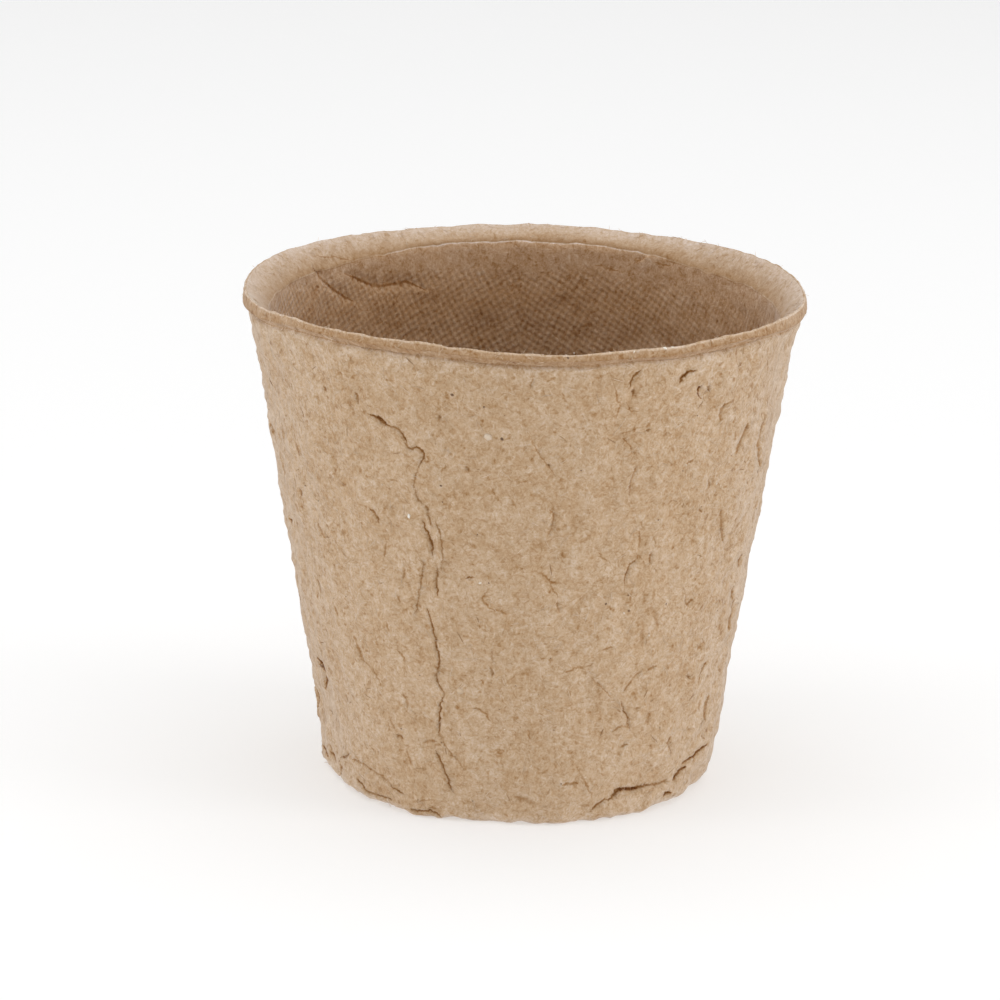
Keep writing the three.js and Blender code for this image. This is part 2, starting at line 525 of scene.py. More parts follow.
def stretch(start, end, step):
    """Points from start to just before end, about a step apart."""
    start, end = Vector(start), Vector(end)
    count = max(1, round((end - start).length / step))
    return [start.lerp(end, number / count) for number in range(count)]


def turn(centre, radius, first, last, count):
    """Points of an arc, its end left out."""
    angles = [first + (last - first) * number / count for number in range(count)]
    return [Vector(centre) + radius * Vector((math.cos(a), math.sin(a))) for a in angles]


def sweep(start, pull, end, count):
    """Points of a curve that leaves start towards pull and reaches end from there."""
    start, pull, end = Vector(start), Vector(pull), Vector(end)
    shares = [number / count for number in range(count)]
    return [start.lerp(pull, t).lerp(pull.lerp(end, t), t) for t in shares]


print("outer radius halfway up", round(outer(HEIGHT / 2) / MM, 2), "mm")

# %% Sizes of the section
HEEL_RADIUS = 2.2 * MM
INNER_HEEL_RADIUS = 3.0 * MM
FOOT_WIDTH = 3.5 * MM
FOOT_OUTER = fillet_radius(CORNER_RADIUS, HEEL_RADIUS)
FOOT_INNER = FOOT_OUTER - FOOT_WIDTH
DISH = 1.2 * MM
DISH_SLOPE = 5.0 * MM
DISH_RADIUS = FOOT_INNER - DISH_SLOPE
DRAIN_RADIUS = 4.5 * MM
LIP_EDGE = 0.2 * MM  # radius of the rounded top edge
LIP_TURN = 2 * math.pi / 3  # how far the rounded edge turns before the cove takes over
LIP_BAND = 0.8 * MM
LIP_LEAN = 0.2 * MM  # how far the band leans out from the top edge down
LIP_UNDERCUT = 0.95 * MM
SHOULDER = 0.35 * MM  # the wall's crisp top edge, where the pressed band starts
# the top of the wall is painted lighter over this height
PAINTED_LIGHT_TOP = 2.5 * MM  # height of the paler top of the wall
COVE = 3.0 * MM  # height of the flare inside the rim
COVE_BOTTOM = HEIGHT - COVE
COVE_RISE = 1.0 * MM
LEDGE = 0.2 * MM
FINE_INSIDE = 16.0 * MM  # height of the inner wall that is drawn in finer steps
PLAIN = (1.0, 1.0)  # neither paler nor darker
print("foot ring from", round(FOOT_INNER / MM, 2), "to", round(FOOT_OUTER / MM, 2), "mm")

# %% Draw the base and the rim
def draw_base():
    """Underside from the drain hole to the heel: finish, felt, painted shading and points of each
    stretch.
    """
    heel = turn((FOOT_OUTER, HEEL_RADIUS), HEEL_RADIUS, -math.pi / 2, -TAPER, 5)
    return [
        (FELTED, 0.4, PLAIN, stretch((DRAIN_RADIUS, DISH), (DISH_RADIUS, DISH), 1.6 * MM)),
        (FELTED, 0.6, PLAIN, stretch((DISH_RADIUS, DISH), (FOOT_INNER, 0), 1.2 * MM)),
        (FELTED, 0.4, PLAIN, stretch((FOOT_INNER, 0), (FOOT_OUTER, 0), 1.2 * MM)),
        # painted light makes the rounded heel paler
        (FELTED, 1.0, (1.18, 1.13), heel),
    ]


def draw_rim():
    """The outer wall and the rim, from the heel over the lip to the ledge inside."""
    heel_end = HEEL_RADIUS * (1 - math.sin(TAPER))
    lip = Vector((LIP_RADIUS - LIP_LEAN - LIP_EDGE, HEIGHT - LIP_EDGE))
    lip_back = lip + LIP_EDGE * Vector((math.cos(LIP_TURN), math.sin(LIP_TURN)))
    band = (LIP_RADIUS, lip.y - LIP_BAND)
    step = band[1] - LIP_UNDERCUT
    step_edge = (outer(step) - SHOULDER, step)
    wall_top = step - SHOULDER
    pale = wall_top - PAINTED_LIGHT_TOP
    ledge = Vector((inner(COVE_BOTTOM) + LEDGE, COVE_BOTTOM + LEDGE))
    lean = ledge + COVE_RISE * Vector((SLOPE, 1))
    return [
        # painted light and shade along the rim: paler wall top, shoulder, band and lip edge, a flare
        # painted darker downwards, and a painted highlight on the ledge
        (FELTED, 1.0, (1.07, 1.04), stretch(on_outer(heel_end), on_outer(pale), 0.64 * MM)),
        (FELTED, 1.0, (1.04, 1.13), stretch(on_outer(pale), on_outer(wall_top), 0.5 * MM)),
        (FELTED, 0.6, (1.15, 1.18), stretch(on_outer(wall_top), step_edge, 0.15 * MM)),
        (BAND, 0.4, (1.12, 0.96), stretch(step_edge, band, 0.25 * MM)),
        (BAND, 0.3, (1.0, 1.1), stretch(band, (LIP_RADIUS - LIP_LEAN, lip.y), 0.2 * MM)),
        (FELTED, 0.3, (1.19, 1.17), turn(lip, LIP_EDGE, 0.0, LIP_TURN, 5)),
        (FLARE, 0.3, (1.08, 0.69), sweep(lip_back, lean, ledge, 10)),
        (FLARE, 0.4, (1.3, 1.3), stretch(ledge, on_inner(COVE_BOTTOM), 0.2 * MM)),
    ]


print("stretches from the drain hole to the ledge:", len(draw_base() + draw_rim()))

# %% Draw the inside and put the section together
def draw_inside():
    """The inner wall and the floor, back to the drain hole."""
    fine = COVE_BOTTOM - FINE_INSIDE
    halfway = COVE_BOTTOM - FINE_INSIDE / 2
    turn_top = BASE_THICKNESS + INNER_HEEL_RADIUS
    centre = (fillet_radius(inner(BASE_THICKNESS), INNER_HEEL_RADIUS), turn_top)
    floor_edge = (centre[0], BASE_THICKNESS)
    floor_step = (FOOT_INNER, BASE_THICKNESS)
    floor = BASE_THICKNESS + DISH
    return [
        # painted light and shade make the inner wall paler and darker in turns down its height
        (WIRE_MARKED, 0.6, (1.10, 0.94), stretch(on_inner(COVE_BOTTOM), on_inner(halfway), 0.75 * MM)),
        (WIRE_MARKED, 0.6, (0.95, 1.07), stretch(on_inner(halfway), on_inner(fine), 0.75 * MM)),
        (WIRE_MARKED, 0.5, (1.08, 1.0), stretch(on_inner(fine), on_inner(turn_top), 1.7 * MM)),
        (WIRE_MARKED, 0.5, PLAIN, turn(centre, INNER_HEEL_RADIUS, -TAPER, -math.pi / 2, 4)),
        (WIRE_MARKED, 0.5, PLAIN, stretch(floor_edge, floor_step, 1.4 * MM)),
        (WIRE_MARKED, 0.5, PLAIN, stretch(floor_step, (DISH_RADIUS, floor), 1.4 * MM)),
        (WIRE_MARKED, 0.5, PLAIN, stretch((DISH_RADIUS, floor), (DRAIN_RADIUS, floor), 1.6 * MM)),
        (FELTED, 0.3, PLAIN, stretch((DRAIN_RADIUS, floor), (DRAIN_RADIUS, DISH), 0.8 * MM)),
    ]


def whole_section():
    """Radius, height, finish, felt and painted shading of every point of the section."""
    points = []
    for finish, felt, (first, last), run in draw_base() + draw_rim() + draw_inside():
        for number, point in enumerate(run):
            painted_shading = first + (last - first) * number / max(1, len(run) - 1)
            points.append((point.x, point.y, finish, felt, painted_shading))
    return points


section = whole_section()
print("section of", len(section), "points")

# %% [markdown]
# ## The shell
# Geometry Nodes turn the section round a circle, which closes on itself and leaves no seam. Then the
# same tree makes the pot less than perfect, as drying does. A curve over the angle says how far the
# mouth has warped up or down. The rim's edge wavers and frays, the step below its band isn't level,
# and the band reaches lower at the sides. The ledge inside lies higher at the back, and lower and worn
# down at the sides, where its painted highlight, a thin pale line, fades; noise breaks that line up.
# The inner wall below the ledge is painted a little lighter towards the sides. The wall swells and
# sinks, and the felt is lumpy and puckered. All noise has a fixed seed, so the result is the same each
# time.

# %% How the mouth has warped
WARP_RANGE = 2.0 * MM  # the warp curve runs over this range, with no warp in its middle
RIM_WARP = {  # lift of the rim in millimetres by angle: 0 is the front, and 90 the right side
    -180: 0.25,
    -150: 0.0,
    -120: 0.3,
    -90: -0.1,
    -50: 0.7,
    -20: 0.95,
    0: 0.45,
    20: 0.35,
    50: 0.55,
    90: -0.3,
    120: 0.25,
    150: 0.0,
    180: 0.25,
}


def warp_curve(tree, angle):
    """The rim's lift at an angle in radians, from the table."""
    turn_share = maths(tree, "MULTIPLY_ADD", angle, 0.5 / math.pi, 0.5)
    node = add_node(tree, "ShaderNodeFloatCurve", {"Value": turn_share})
    points = node.mapping.curves[0].points
    for number, (degrees, lift) in enumerate(RIM_WARP.items()):
        spot = (degrees / 360 + 0.5, lift * MM / WARP_RANGE + 0.5)
        if number < 2:  # a new curve has two points already
            points[number].location = spot
        else:
            points.new(*spot)
    node.mapping.update()
    return swing(tree, node.outputs[0], WARP_RANGE)


print("rim lifted by", min(RIM_WARP.values()), "to", max(RIM_WARP.values()), "mm")

# %% Helpers for the shell
UNEVENNESS = {  # waves per metre, and detail of the noise
    "Waver": (110.0, 3.0),
    "Fray": (420.0, 2.0),
    "Shoulder Waver": (150.0, 2.0),
    "Ledge Waver": (480.0, 2.0),
    "Ledge Breaks": (700.0, 2.0),
    "Swell": (42.0, 2.0),
    "Lumps": (260.0, 3.0),
    "Pucker": (560.0, 2.0),
}
OUTWARD = (-0.1, 0.2)  # how far a face looks outwards: the inside ends and the outside starts


def uneven(tree, given, name, place, seed="Seed"):
    """Noise about zero, as strong as the tree's input of that name says."""
    waves, detail = UNEVENNESS[name]
    return swing(tree, noise(tree, place, waves, detail, given[seed]), given[name])


def within(tree, value, rising, falling):
    """1 between two ranges of a value, with a smooth slope over each of them."""
    return times(tree, ramp(tree, value, *rising), ramp(tree, value, *falling, 1.0, 0.0))


def stored(tree, name, kind="FLOAT"):
    """The attribute of that name on the geometry."""
    return output(tree, "GeometryNodeInputNamedAttribute", {"Name": name}, data_type=kind)


def greater(tree, first, second):
    """True where the first number is the greater one."""
    inputs = {"A": first, "B": second}
    return output(tree, "FunctionNodeCompare", inputs, operation="GREATER_THAN")


def shell_spot(tree, given):
    """The fields by which the shell's unevenness is laid out."""
    place = output(tree, "GeometryNodeInputPosition")
    normal = output(tree, "GeometryNodeInputNormal")
    x, y, z = separate(tree, place)
    plan = combine(tree, x, y)
    out = vector_maths(tree, "NORMALIZE", plan)
    outside = ramp(tree, vector_maths(tree, "DOT_PRODUCT", normal, out), *OUTWARD)
    share = maths(tree, "DIVIDE", z, given["Height"])
    angle = maths(tree, "ARCTAN2", x, times(tree, y, -1.0))
    sideways = maths(tree, "DIVIDE", maths(tree, "ABSOLUTE", x), LIP_RADIUS)
    return SimpleNamespace(
        place=place,
        normal=normal,
        z=z,
        plan=plan,
        out=out,
        outside=outside,
        share=share,
        angle=angle,
        sideways=sideways,
    )


print("kinds of unevenness:", len(UNEVENNESS))

# %% Unevenness of the rim
WARPED = (0.5, 1.0)  # these are shares of the pot's height
WAVERING = (0.93, 1.0)
FRAYED = (0.984, 0.998)
AT_STEP = ((0.94, 0.96), (0.973, 0.985))
AT_BAND = ((0.92, 0.955), (0.986, 0.996))
DEEP_SIDES = (0.75, 1.0)  # share of the lip's radius, to the left or the right


def rim_lift(tree, given, spot):
    """How far the mouth, its edge, its lip and the step and band below are lifted."""
    warp = times(tree, warp_curve(tree, spot.angle), ramp(tree, spot.share, *WARPED))
    waver = uneven(tree, given, "Waver", spot.plan)
    lift = maths(tree, "MULTIPLY_ADD", waver, ramp(tree, spot.share, *WAVERING), warp)
    fray = uneven(tree, given, "Fray", spot.place)
    lift = maths(tree, "MULTIPLY_ADD", fray, ramp(tree, spot.share, *FRAYED), lift)
    shoulder = uneven(tree, given, "Shoulder Waver", spot.plan, "Shoulder Seed")
    lift = maths(tree, "MULTIPLY_ADD", shoulder, within(tree, spot.share, *AT_STEP), lift)
    at_sides = times(tree, spot.outside, ramp(tree, spot.sideways, *DEEP_SIDES))
    deeper = times(tree, within(tree, spot.share, *AT_BAND), at_sides, given["Deeper Sides"])
    return maths(tree, "SUBTRACT", lift, deeper)


print("rim frays from a height of", round(FRAYED[0] * HEIGHT / MM, 1), "mm")

# %% Unevenness of the ledge
AT_LEDGE = ((0.89, 0.955), (0.965, 1.0))  # shares of the pot's height
LOW_SIDES = (0.3, 0.8)  # shares of the lip's radius, to the left or the right
WORN_SIDES = (0.3, 0.65)
# towards the sides, between these shares, the inner wall below the ledge is painted lighter
PAINTED_LIGHT_SIDES = (0.5, 0.8)
# the ledge's painted highlight, a thin pale line, ends between these heights
LEDGE_LINE = (COVE_BOTTOM + 1.2 * LEDGE, COVE_BOTTOM + 1.5 * LEDGE)  # where the pale line ends
WORN_HEIGHTS = (COVE_BOTTOM + LEDGE, COVE_BOTTOM + 1.0 * MM)
BELOW_LEDGE = (COVE_BOTTOM - 3.0 * MM, COVE_BOTTOM)


def lift_ledge(tree, given, spot, lift):
    """The lift with that of the ledge, which is higher at the back and lower at the sides."""
    inside = maths(tree, "SUBTRACT", 1.0, spot.outside)
    near = times(tree, within(tree, spot.share, *AT_LEDGE), inside)
    rise = ramp(tree, spot.sideways, *LOW_SIDES, given["Ledge Rise"], given["Ledge At Sides"])
    rise = maths(tree, "ADD", rise, uneven(tree, given, "Ledge Waver", spot.plan))
    return maths(tree, "MULTIPLY_ADD", near, rise, lift)


def on_finish(tree, number):
    """1 on the points of that finish, and otherwise 0."""
    return maths(tree, "COMPARE", stored(tree, "finish"), float(number), 0.5)


def ledge_painted_shading(tree, given, spot):
    """The painted shading, with the ledge's painted highlight broken up, and faded at the sides."""
    # line: where the ledge carries its painted highlight
    line = times(tree, on_finish(tree, FLARE), ramp(tree, spot.z, *LEDGE_LINE, 1.0, 0.0))
    breaks = uneven(tree, given, "Ledge Breaks", spot.place)
    worn = ramp(tree, spot.sideways, *WORN_SIDES)
    highlight_faded = maths(tree, "MULTIPLY_ADD", worn, given["Ledge Highlight Fading"], breaks)
    kept = maths(tree, "SUBTRACT", 1.0, times(tree, line, highlight_faded))
    below = times(tree, ramp(tree, spot.z, *BELOW_LEDGE), ramp(tree, spot.sideways, *PAINTED_LIGHT_SIDES))
    # below: painted light on the inner wall below the ledge, towards the sides
    below = times(tree, below, on_finish(tree, WIRE_MARKED), given["Painted Light Sides"])
    return maths(tree, "MULTIPLY_ADD", stored(tree, "painted_shading"), kept, below)


def worn_ledge(tree, spot):
    """How the ledge is worn at the sides: its edge moves in to the wall below."""
    worn = times(tree, ramp(tree, spot.sideways, *WORN_SIDES), on_finish(tree, FLARE))
    worn = times(tree, worn, ramp(tree, spot.z, *WORN_HEIGHTS, -LEDGE, 0.0))
    return vector_maths(tree, "SCALE", spot.out, scale=worn)


print("ledge at a height of", round(COVE_BOTTOM / MM, 1), "mm")

# %% Geometry Nodes: turn the section and make it uneven
SHELL_SIZES = {
    "Turning Radius": DRAIN_RADIUS,
    "Height": HEIGHT,
    "Waver": 0.8 * MM,
    "Fray": 0.5 * MM,
    "Shoulder Waver": 0.9 * MM,
    "Shoulder Seed": 9.0,
    "Deeper Sides": 0.8 * MM,  # how much lower the band reaches there
    "Ledge Rise": 0.7 * MM,
    "Ledge At Sides": -0.8 * MM,
    "Ledge Waver": 0.9 * MM,
    # the ledge's breaks and fading act on its painted highlight
    "Ledge Breaks": 0.9,  # swing of its pallor
    "Ledge Highlight Fading": 0.32,
    # painted light on the inner wall's sides below the ledge
    "Painted Light Sides": 0.03,
    "Swell": 1.2 * MM,
    "Lumps": 1.5 * MM,
    "Pucker": 0.85 * MM,
    "Seed": 4.0,
}
FACETS = 312  # round the axis
TAKEN_OVER = 0.6  # a face between two finishes takes the higher number, from this far below it


def felt_rise(tree, given, spot):
    """How far the felt stands out: broad swellings, lumps and puckers."""
    rise = uneven(tree, given, "Swell", spot.place)
    for name in ("Lumps", "Pucker"):
        rise = maths(tree, "ADD", rise, uneven(tree, given, name, spot.place))
    return times(tree, rise, stored(tree, "felt"))


def turned_section(tree, given):
    """The section turned round a circle, with its faces outwards."""
    outline = output(tree, "GeometryNodeMeshToCurve", {"Mesh": given["Section"]})
    ring = {"Resolution": given["Facets"], "Radius": given["Turning Radius"]}
    circle = output(tree, "GeometryNodeCurvePrimitiveCircle", ring)
    shape = output(tree, "GeometryNodeCurveToMesh", {"Curve": circle, "Profile Curve": outline})
    return output(tree, "GeometryNodeFlipFaces", {"Mesh": shape})


def make_shell_tree():
    inputs = [("Section", GEOMETRY, None), ("Facets", INTEGER, FACETS)]
    inputs += [(name, FLOAT, size) for name, size in SHELL_SIZES.items()]
    inputs += [(material.name, MATERIAL, material) for material in PULPS]
    outputs = [("Geometry", GEOMETRY)]
    tree, given, result = new_tree("turned pulp shell", "GeometryNodeTree", inputs, outputs)
    shape = turned_section(tree, given)
    spot = shell_spot(tree, given)
    # store the section's painted light and shade, with the ledge's painted highlight broken up
    light_painted = {"Geometry": shape, "Name": "painted_shading", "Value": ledge_painted_shading(tree, given, spot)}
    shape = output(tree, "GeometryNodeStoreNamedAttribute", light_painted)
    lift = lift_ledge(tree, given, spot, rim_lift(tree, given, spot))
    move = vector_maths(tree, "ADD", worn_ledge(tree, spot), combine(tree, z=lift))
    shape = output(tree, "GeometryNodeSetPosition", {"Geometry": shape, "Offset": move})
    swollen = vector_maths(tree, "SCALE", spot.normal, scale=felt_rise(tree, given, spot))
    shape = output(tree, "GeometryNodeSetPosition", {"Geometry": shape, "Offset": swollen})
    shape = output(tree, "GeometryNodeSetShadeSmooth", {"Geometry": shape})
    shape = output(tree, "GeometryNodeRealizeInstances", {"Geometry": shape})
    for number, material in enumerate(PULPS):
        here = greater(tree, stored(tree, "finish"), number - TAKEN_OVER)
        painted = {"Geometry": shape, "Selection": here, "Material": given[material.name]}
        shape = output(tree, "GeometryNodeSetMaterial", painted)
    tree.links.new(shape, result["Geometry"])
    return tree


shell_tree = make_shell_tree()
print("made", shell_tree.name, "with", len(shell_tree.nodes), "nodes")

# %% Build the shell
def node_object(name, mesh, tree, values=None):
    """A linked object that carries mesh and the tree as a modifier, with inputs set by identifier."""
    shape = bpy.data.objects.new(name, mesh)
    bpy.context.scene.collection.objects.link(shape)
    modifier = shape.modifiers.new("shape", "NODES")
    modifier.node_group = tree
    for item in tree.interface.items_tree:
        if item.in_out == "INPUT" and item.name in (values or {}):
            modifier[item.identifier] = values[item.name]
    return shape


def plain_mesh(shape):
    """Turns an object with a node modifier into a plain mesh object."""
    depsgraph = bpy.context.evaluated_depsgraph_get()
    mesh = bpy.data.meshes.new_from_object(shape.evaluated_get(depsgraph))
    shape.modifiers.clear()
    shape.data = mesh
    mesh.name = shape.name
    return mesh


def section_mesh():
    """The section as a closed ring of edges, with its finish, felt and painted shading as attributes."""
    mesh = bpy.data.meshes.new("pot_section")
    count = len(section)
    points = [(radius - DRAIN_RADIUS, -height, 0) for radius, height, *rest in section]
    mesh.from_pydata(points, [(i, (i + 1) % count) for i in range(count)], [])
    for name, column in (("finish", 2), ("felt", 3), ("painted_shading", 4)):
        attribute = mesh.attributes.new(name, "FLOAT", "POINT")
        attribute.data.foreach_set("value", [point[column] for point in section])
    return mesh


shell = node_object("pot_shell", section_mesh(), shell_tree)
shell_mesh = plain_mesh(shell)
print("shell of", len(shell_mesh.polygons), "faces")

# %% [markdown]
# ## Dents and marks
# A felt that shrinks as it dries splits and folds, and a wet one is easily dented. The dents and marks
# on the front are placed by pixels of the 1000 by 1000 picture: a ray from the camera through each
# pixel meets the shell where the mark lies. The sides that the picture doesn't show get wandering marks
# of the same kinds from a fixed seed. Marks are carved into the mesh, so that they catch the light from
# any side, and each also gets a dark line: painted shade deep in its groove, with the browner pulp
# inside it, and in a stain only the pulp's own brown.
#
# A crack is a deep thin groove, a gash a wide one, a cleft lies between the two, and a slit is the
# narrowest. A furrow is a broad soft fold inside. A streak is wider and paler than a crack, a shade is
# broad and blurred, and a stain is hardly more than a dark line. A fold has one strongly raised edge, a
# crease is a faint fold, and a pit is a short hole. Their widths are those that the camera sees, so a
# mark near the outline is made wider. Marks stray a little from their route, and narrow ones the most.

# %% Rays onto the shell
def outwards(angle):
    """The level direction out from the axis at an angle in degrees: 0 is the front."""
    return Vector((math.sin(math.radians(angle)), -math.cos(math.radians(angle)), 0))


def pixel_ray(x, y):
    """Start and direction of the camera's ray through a pixel."""
    local = Vector(((x - AIM_PIXEL[0]) / FOCAL_PIXELS, (AIM_PIXEL[1] - y) / FOCAL_PIXELS, -1))
    return camera.location, (camera.matrix_world.to_3x3() @ local).normalized()


def side_ray(angle, height):
    """Start and direction of a level ray to the axis, by angle in degrees and height in mm."""
    out = outwards(angle)
    return 2 * LIP_RADIUS * out + Vector((0, 0, height * MM)), -out


def falling_ray(angle, radius):
    """Start and direction of a ray straight down, by angle in degrees and radius."""
    return radius * outwards(angle) + Vector((0, 0, 2 * HEIGHT)), Vector((0, 0, -1))


def surface_of(mesh):
    """A tree of the mesh's faces, for rays."""
    corners = [vertex.co for vertex in mesh.vertices]
    return BVHTree.FromPolygons(corners, [tuple(face.vertices) for face in mesh.polygons])


def smooth_route(points, spacing):
    """Points about a spacing apart on a smooth curve through the given points."""
    points = [Vector(point) for point in points]
    ends = [2 * points[0] - points[1], *points, 2 * points[-1] - points[-2]]
    route = []
    for before, start, end, after in zip(ends, ends[1:], ends[2:], ends[3:]):
        steps = max(1, round((end - start).length / spacing))
        for number in range(steps):
            t = number / steps
            bend = 2 * before - 5 * start + 4 * end - after
            twist = 3 * start - before - 3 * end + after
            route.append(start + 0.5 * (t * (end - before) + t * t * bend + t * t * t * twist))
    return route + [points[-1]]


middle_ray = pixel_ray(PICTURE / 2, PICTURE / 2)
print("the picture's middle lies on the shell at", surface_of(shell_mesh).ray_cast(*middle_ray)[0])

# %% Dent the shell
DENTS = {  # pixel, then radius and depth in millimetres; a negative depth swells
    "crushed heel on the left": ((330, 762), 2.5, 0.4),
    "corner below it": ((350, 779), 2.2, -0.3),
    "heel beside it": ((425, 808), 5.0, -0.7),
    "full heel in front": ((550, 806), 4.5, -0.3),
    "full heel on the right": ((709, 735), 5.0, -0.6),
    "drawn in heel on the right": ((696, 780), 3.0, 0.8),
    "chipped heel in front": ((480, 814), 2.5, 0.5),
    "lip under the heel crack": ((640, 799), 3.0, -0.3),
    "hollow above it": ((640, 775), 3.5, 0.25),
    "pucker by the forked fold": ((604, 705), 2.6, 0.3),
    "swelling beside it": ((645, 705), 2.4, -0.3),
    "hollow on the right": ((722, 560), 3.0, 0.3),
    "swelling on the right": ((735, 505), 3.0, -0.3),
    "swelling on the left": ((318, 560), 3.0, -0.2),
    "hollow on the left": ((305, 480), 3.0, 0.25),
    "flat high on the left": ((274, 400), 9.0, 0.4),
    "flat on the left": ((306, 590), 16.0, 0.4),
    "flat low on the left": ((322, 712), 9.0, 1.3),
    "flat high on the right": ((778, 395), 11.0, 0.6),
}
DENT_REACH = 2.5  # in radii, past which a dent has died away


def dent(mesh, surface):
    """Pushes the mesh in, most at the spot of each dent and less all round it."""
    places = KDTree(len(mesh.vertices))
    for vertex in mesh.vertices:
        places.insert(vertex.co, vertex.index)
    places.balance()
    for pixel, radius, depth in DENTS.values():
        spot, normal, face, distance = surface.ray_cast(*pixel_ray(*pixel))
        for place, index, gap in places.find_range(spot, DENT_REACH * radius * MM):
            push = depth * MM * math.exp(-((gap / (radius * MM)) ** 2))
            mesh.vertices[index].co -= push * normal


dent(shell_mesh, surface_of(shell_mesh))
print("dents:", len(DENTS))

# %% Kinds of marks
# the darkness paints the shade deep in each groove or hollow, with the browner pulp inside it; a stain's
# darkness is only the pulp's own brown
MARK_KINDS = {  # half widths of line and groove, depth and raised edge in mm, and darkness from 0 to 1
    "crack": (0.12, 0.28, 0.28, 0.18, 0.66),
    "gash": (0.19, 0.36, 0.50, 0.30, 0.96),
    "cleft": (0.16, 0.32, 0.30, 0.25, 0.90),
    "slit": (0.08, 0.16, 0.35, 0.30, 0.66),
    "furrow": (0.26, 0.90, 0.45, 0.30, 0.60),
    "streak": (0.18, 0.38, 0.28, 0.22, 0.47),
    "shade": (0.40, 0.60, 0.20, 0.05, 0.29),
    "stain": (0.14, 0.20, 0.05, 0.06, 0.43),
    "fold": (0.09, 0.26, 0.15, 0.28, 0.41),
    "crease": (0.08, 0.24, 0.08, 0.16, 0.34),
    "pit": (0.19, 0.30, 0.25, 0.05, 0.49),
}
print("kinds of marks:", len(MARK_KINDS))

# %% Cracks that the picture shows
SEEN_MARKS = {  # by kind and name, the pixels along each mark
    "crack": {
        "high on the left": [(355, 393), (357, 398), (359, 403)],
        "dash": [(466, 578), (474, 577)],
        "right dimple": [(738, 566), (741, 555)],
        "dash low on the right": [(699, 679), (703, 671), (706, 663)],
        "left heel edge, second": [(331, 752), (336, 761)],
        "slanting crack": [(369, 414), (378, 418), (388, 426), (398, 429), (403, 435), (407, 442)],
        "bend": [(405, 443), (411, 448), (418, 448), (424, 454), (422, 462), (418, 468)],
        "left branch": [(423, 522), (426, 530), (432, 544), (432, 555)],
        "middle sliver": [(437, 568), (437, 580), (437, 595)],
        "lower crack": [(427, 609), (431, 623), (437, 648), (439, 663), (437, 678), (444, 694)],
        "lower crack, end": [(444, 694), (439, 714), (439, 735)],
        "last crack": [(436, 751), (442, 766), (448, 780), (453, 791)],
        "arc": [(630, 385), (633, 379), (641, 371)],
        "curl": [(638, 558), (629, 568), (625, 578), (624, 587)],
        "end of the heel chain": [(393, 787), (398, 791), (403, 795)],
        "left slash": [(370, 509), (375, 516), (379, 522)],
        "forked fold, stem": [(621, 701), (625, 712), (628, 722), (630, 730)],
        "heel crack, start": [(592, 809), (597, 805), (603, 801), (608, 800)],
    },
    "gash": {
        "left small crack, core": [(321, 665), (325, 675), (326, 684)],
        "left small crack": [(318, 658), (323, 669), (326, 680), (326, 688)],
        "dot": [(708, 384), (709, 391)],
        "heel crack": [(608, 800), (614, 795), (620, 790), (633, 789), (643, 786), (650, 785)],
        "heel crack, left mouth": [(611, 798), (616, 793), (621, 790)],
        "heel crack, mouth": [(673, 780), (678, 774), (681, 770), (685, 767)],
        "heel crack, spot": [(664, 795), (671, 792)],
    },
    "cleft": {
        "dash in the left heel": [(341, 757), (346, 756), (350, 755)],
        "left, lower": [(290, 519), (292, 523)],
        "crescent": [(680, 382), (683, 377), (688, 372), (695, 370)],
        "left heel edge": [(323, 745), (328, 756)],
        "slanting crack, mouth": [(371, 415), (379, 419), (387, 425)],
        "heel crack, end": [(681, 764), (688, 760), (694, 756), (700, 750), (706, 745)],
        "ring": [(702, 385), (699, 389), (699, 395), (701, 398)],
    },
    "slit": {
        "left heel crack": [(358, 779), (364, 788), (373, 794), (383, 797), (392, 800)],
        "heel slit": [(409, 809), (420, 811), (432, 812), (441, 815)],
    },
    "furrow": {
        "long crack inside": [(345, 274), (358, 279), (375, 285), (396, 284), (408, 282), (425, 290)],
        "slanting fold inside": [(313, 267), (323, 279), (337, 291), (354, 302)],
    },
}
print("marks in the picture:", {kind: len(routes) for kind, routes in SEEN_MARKS.items()})

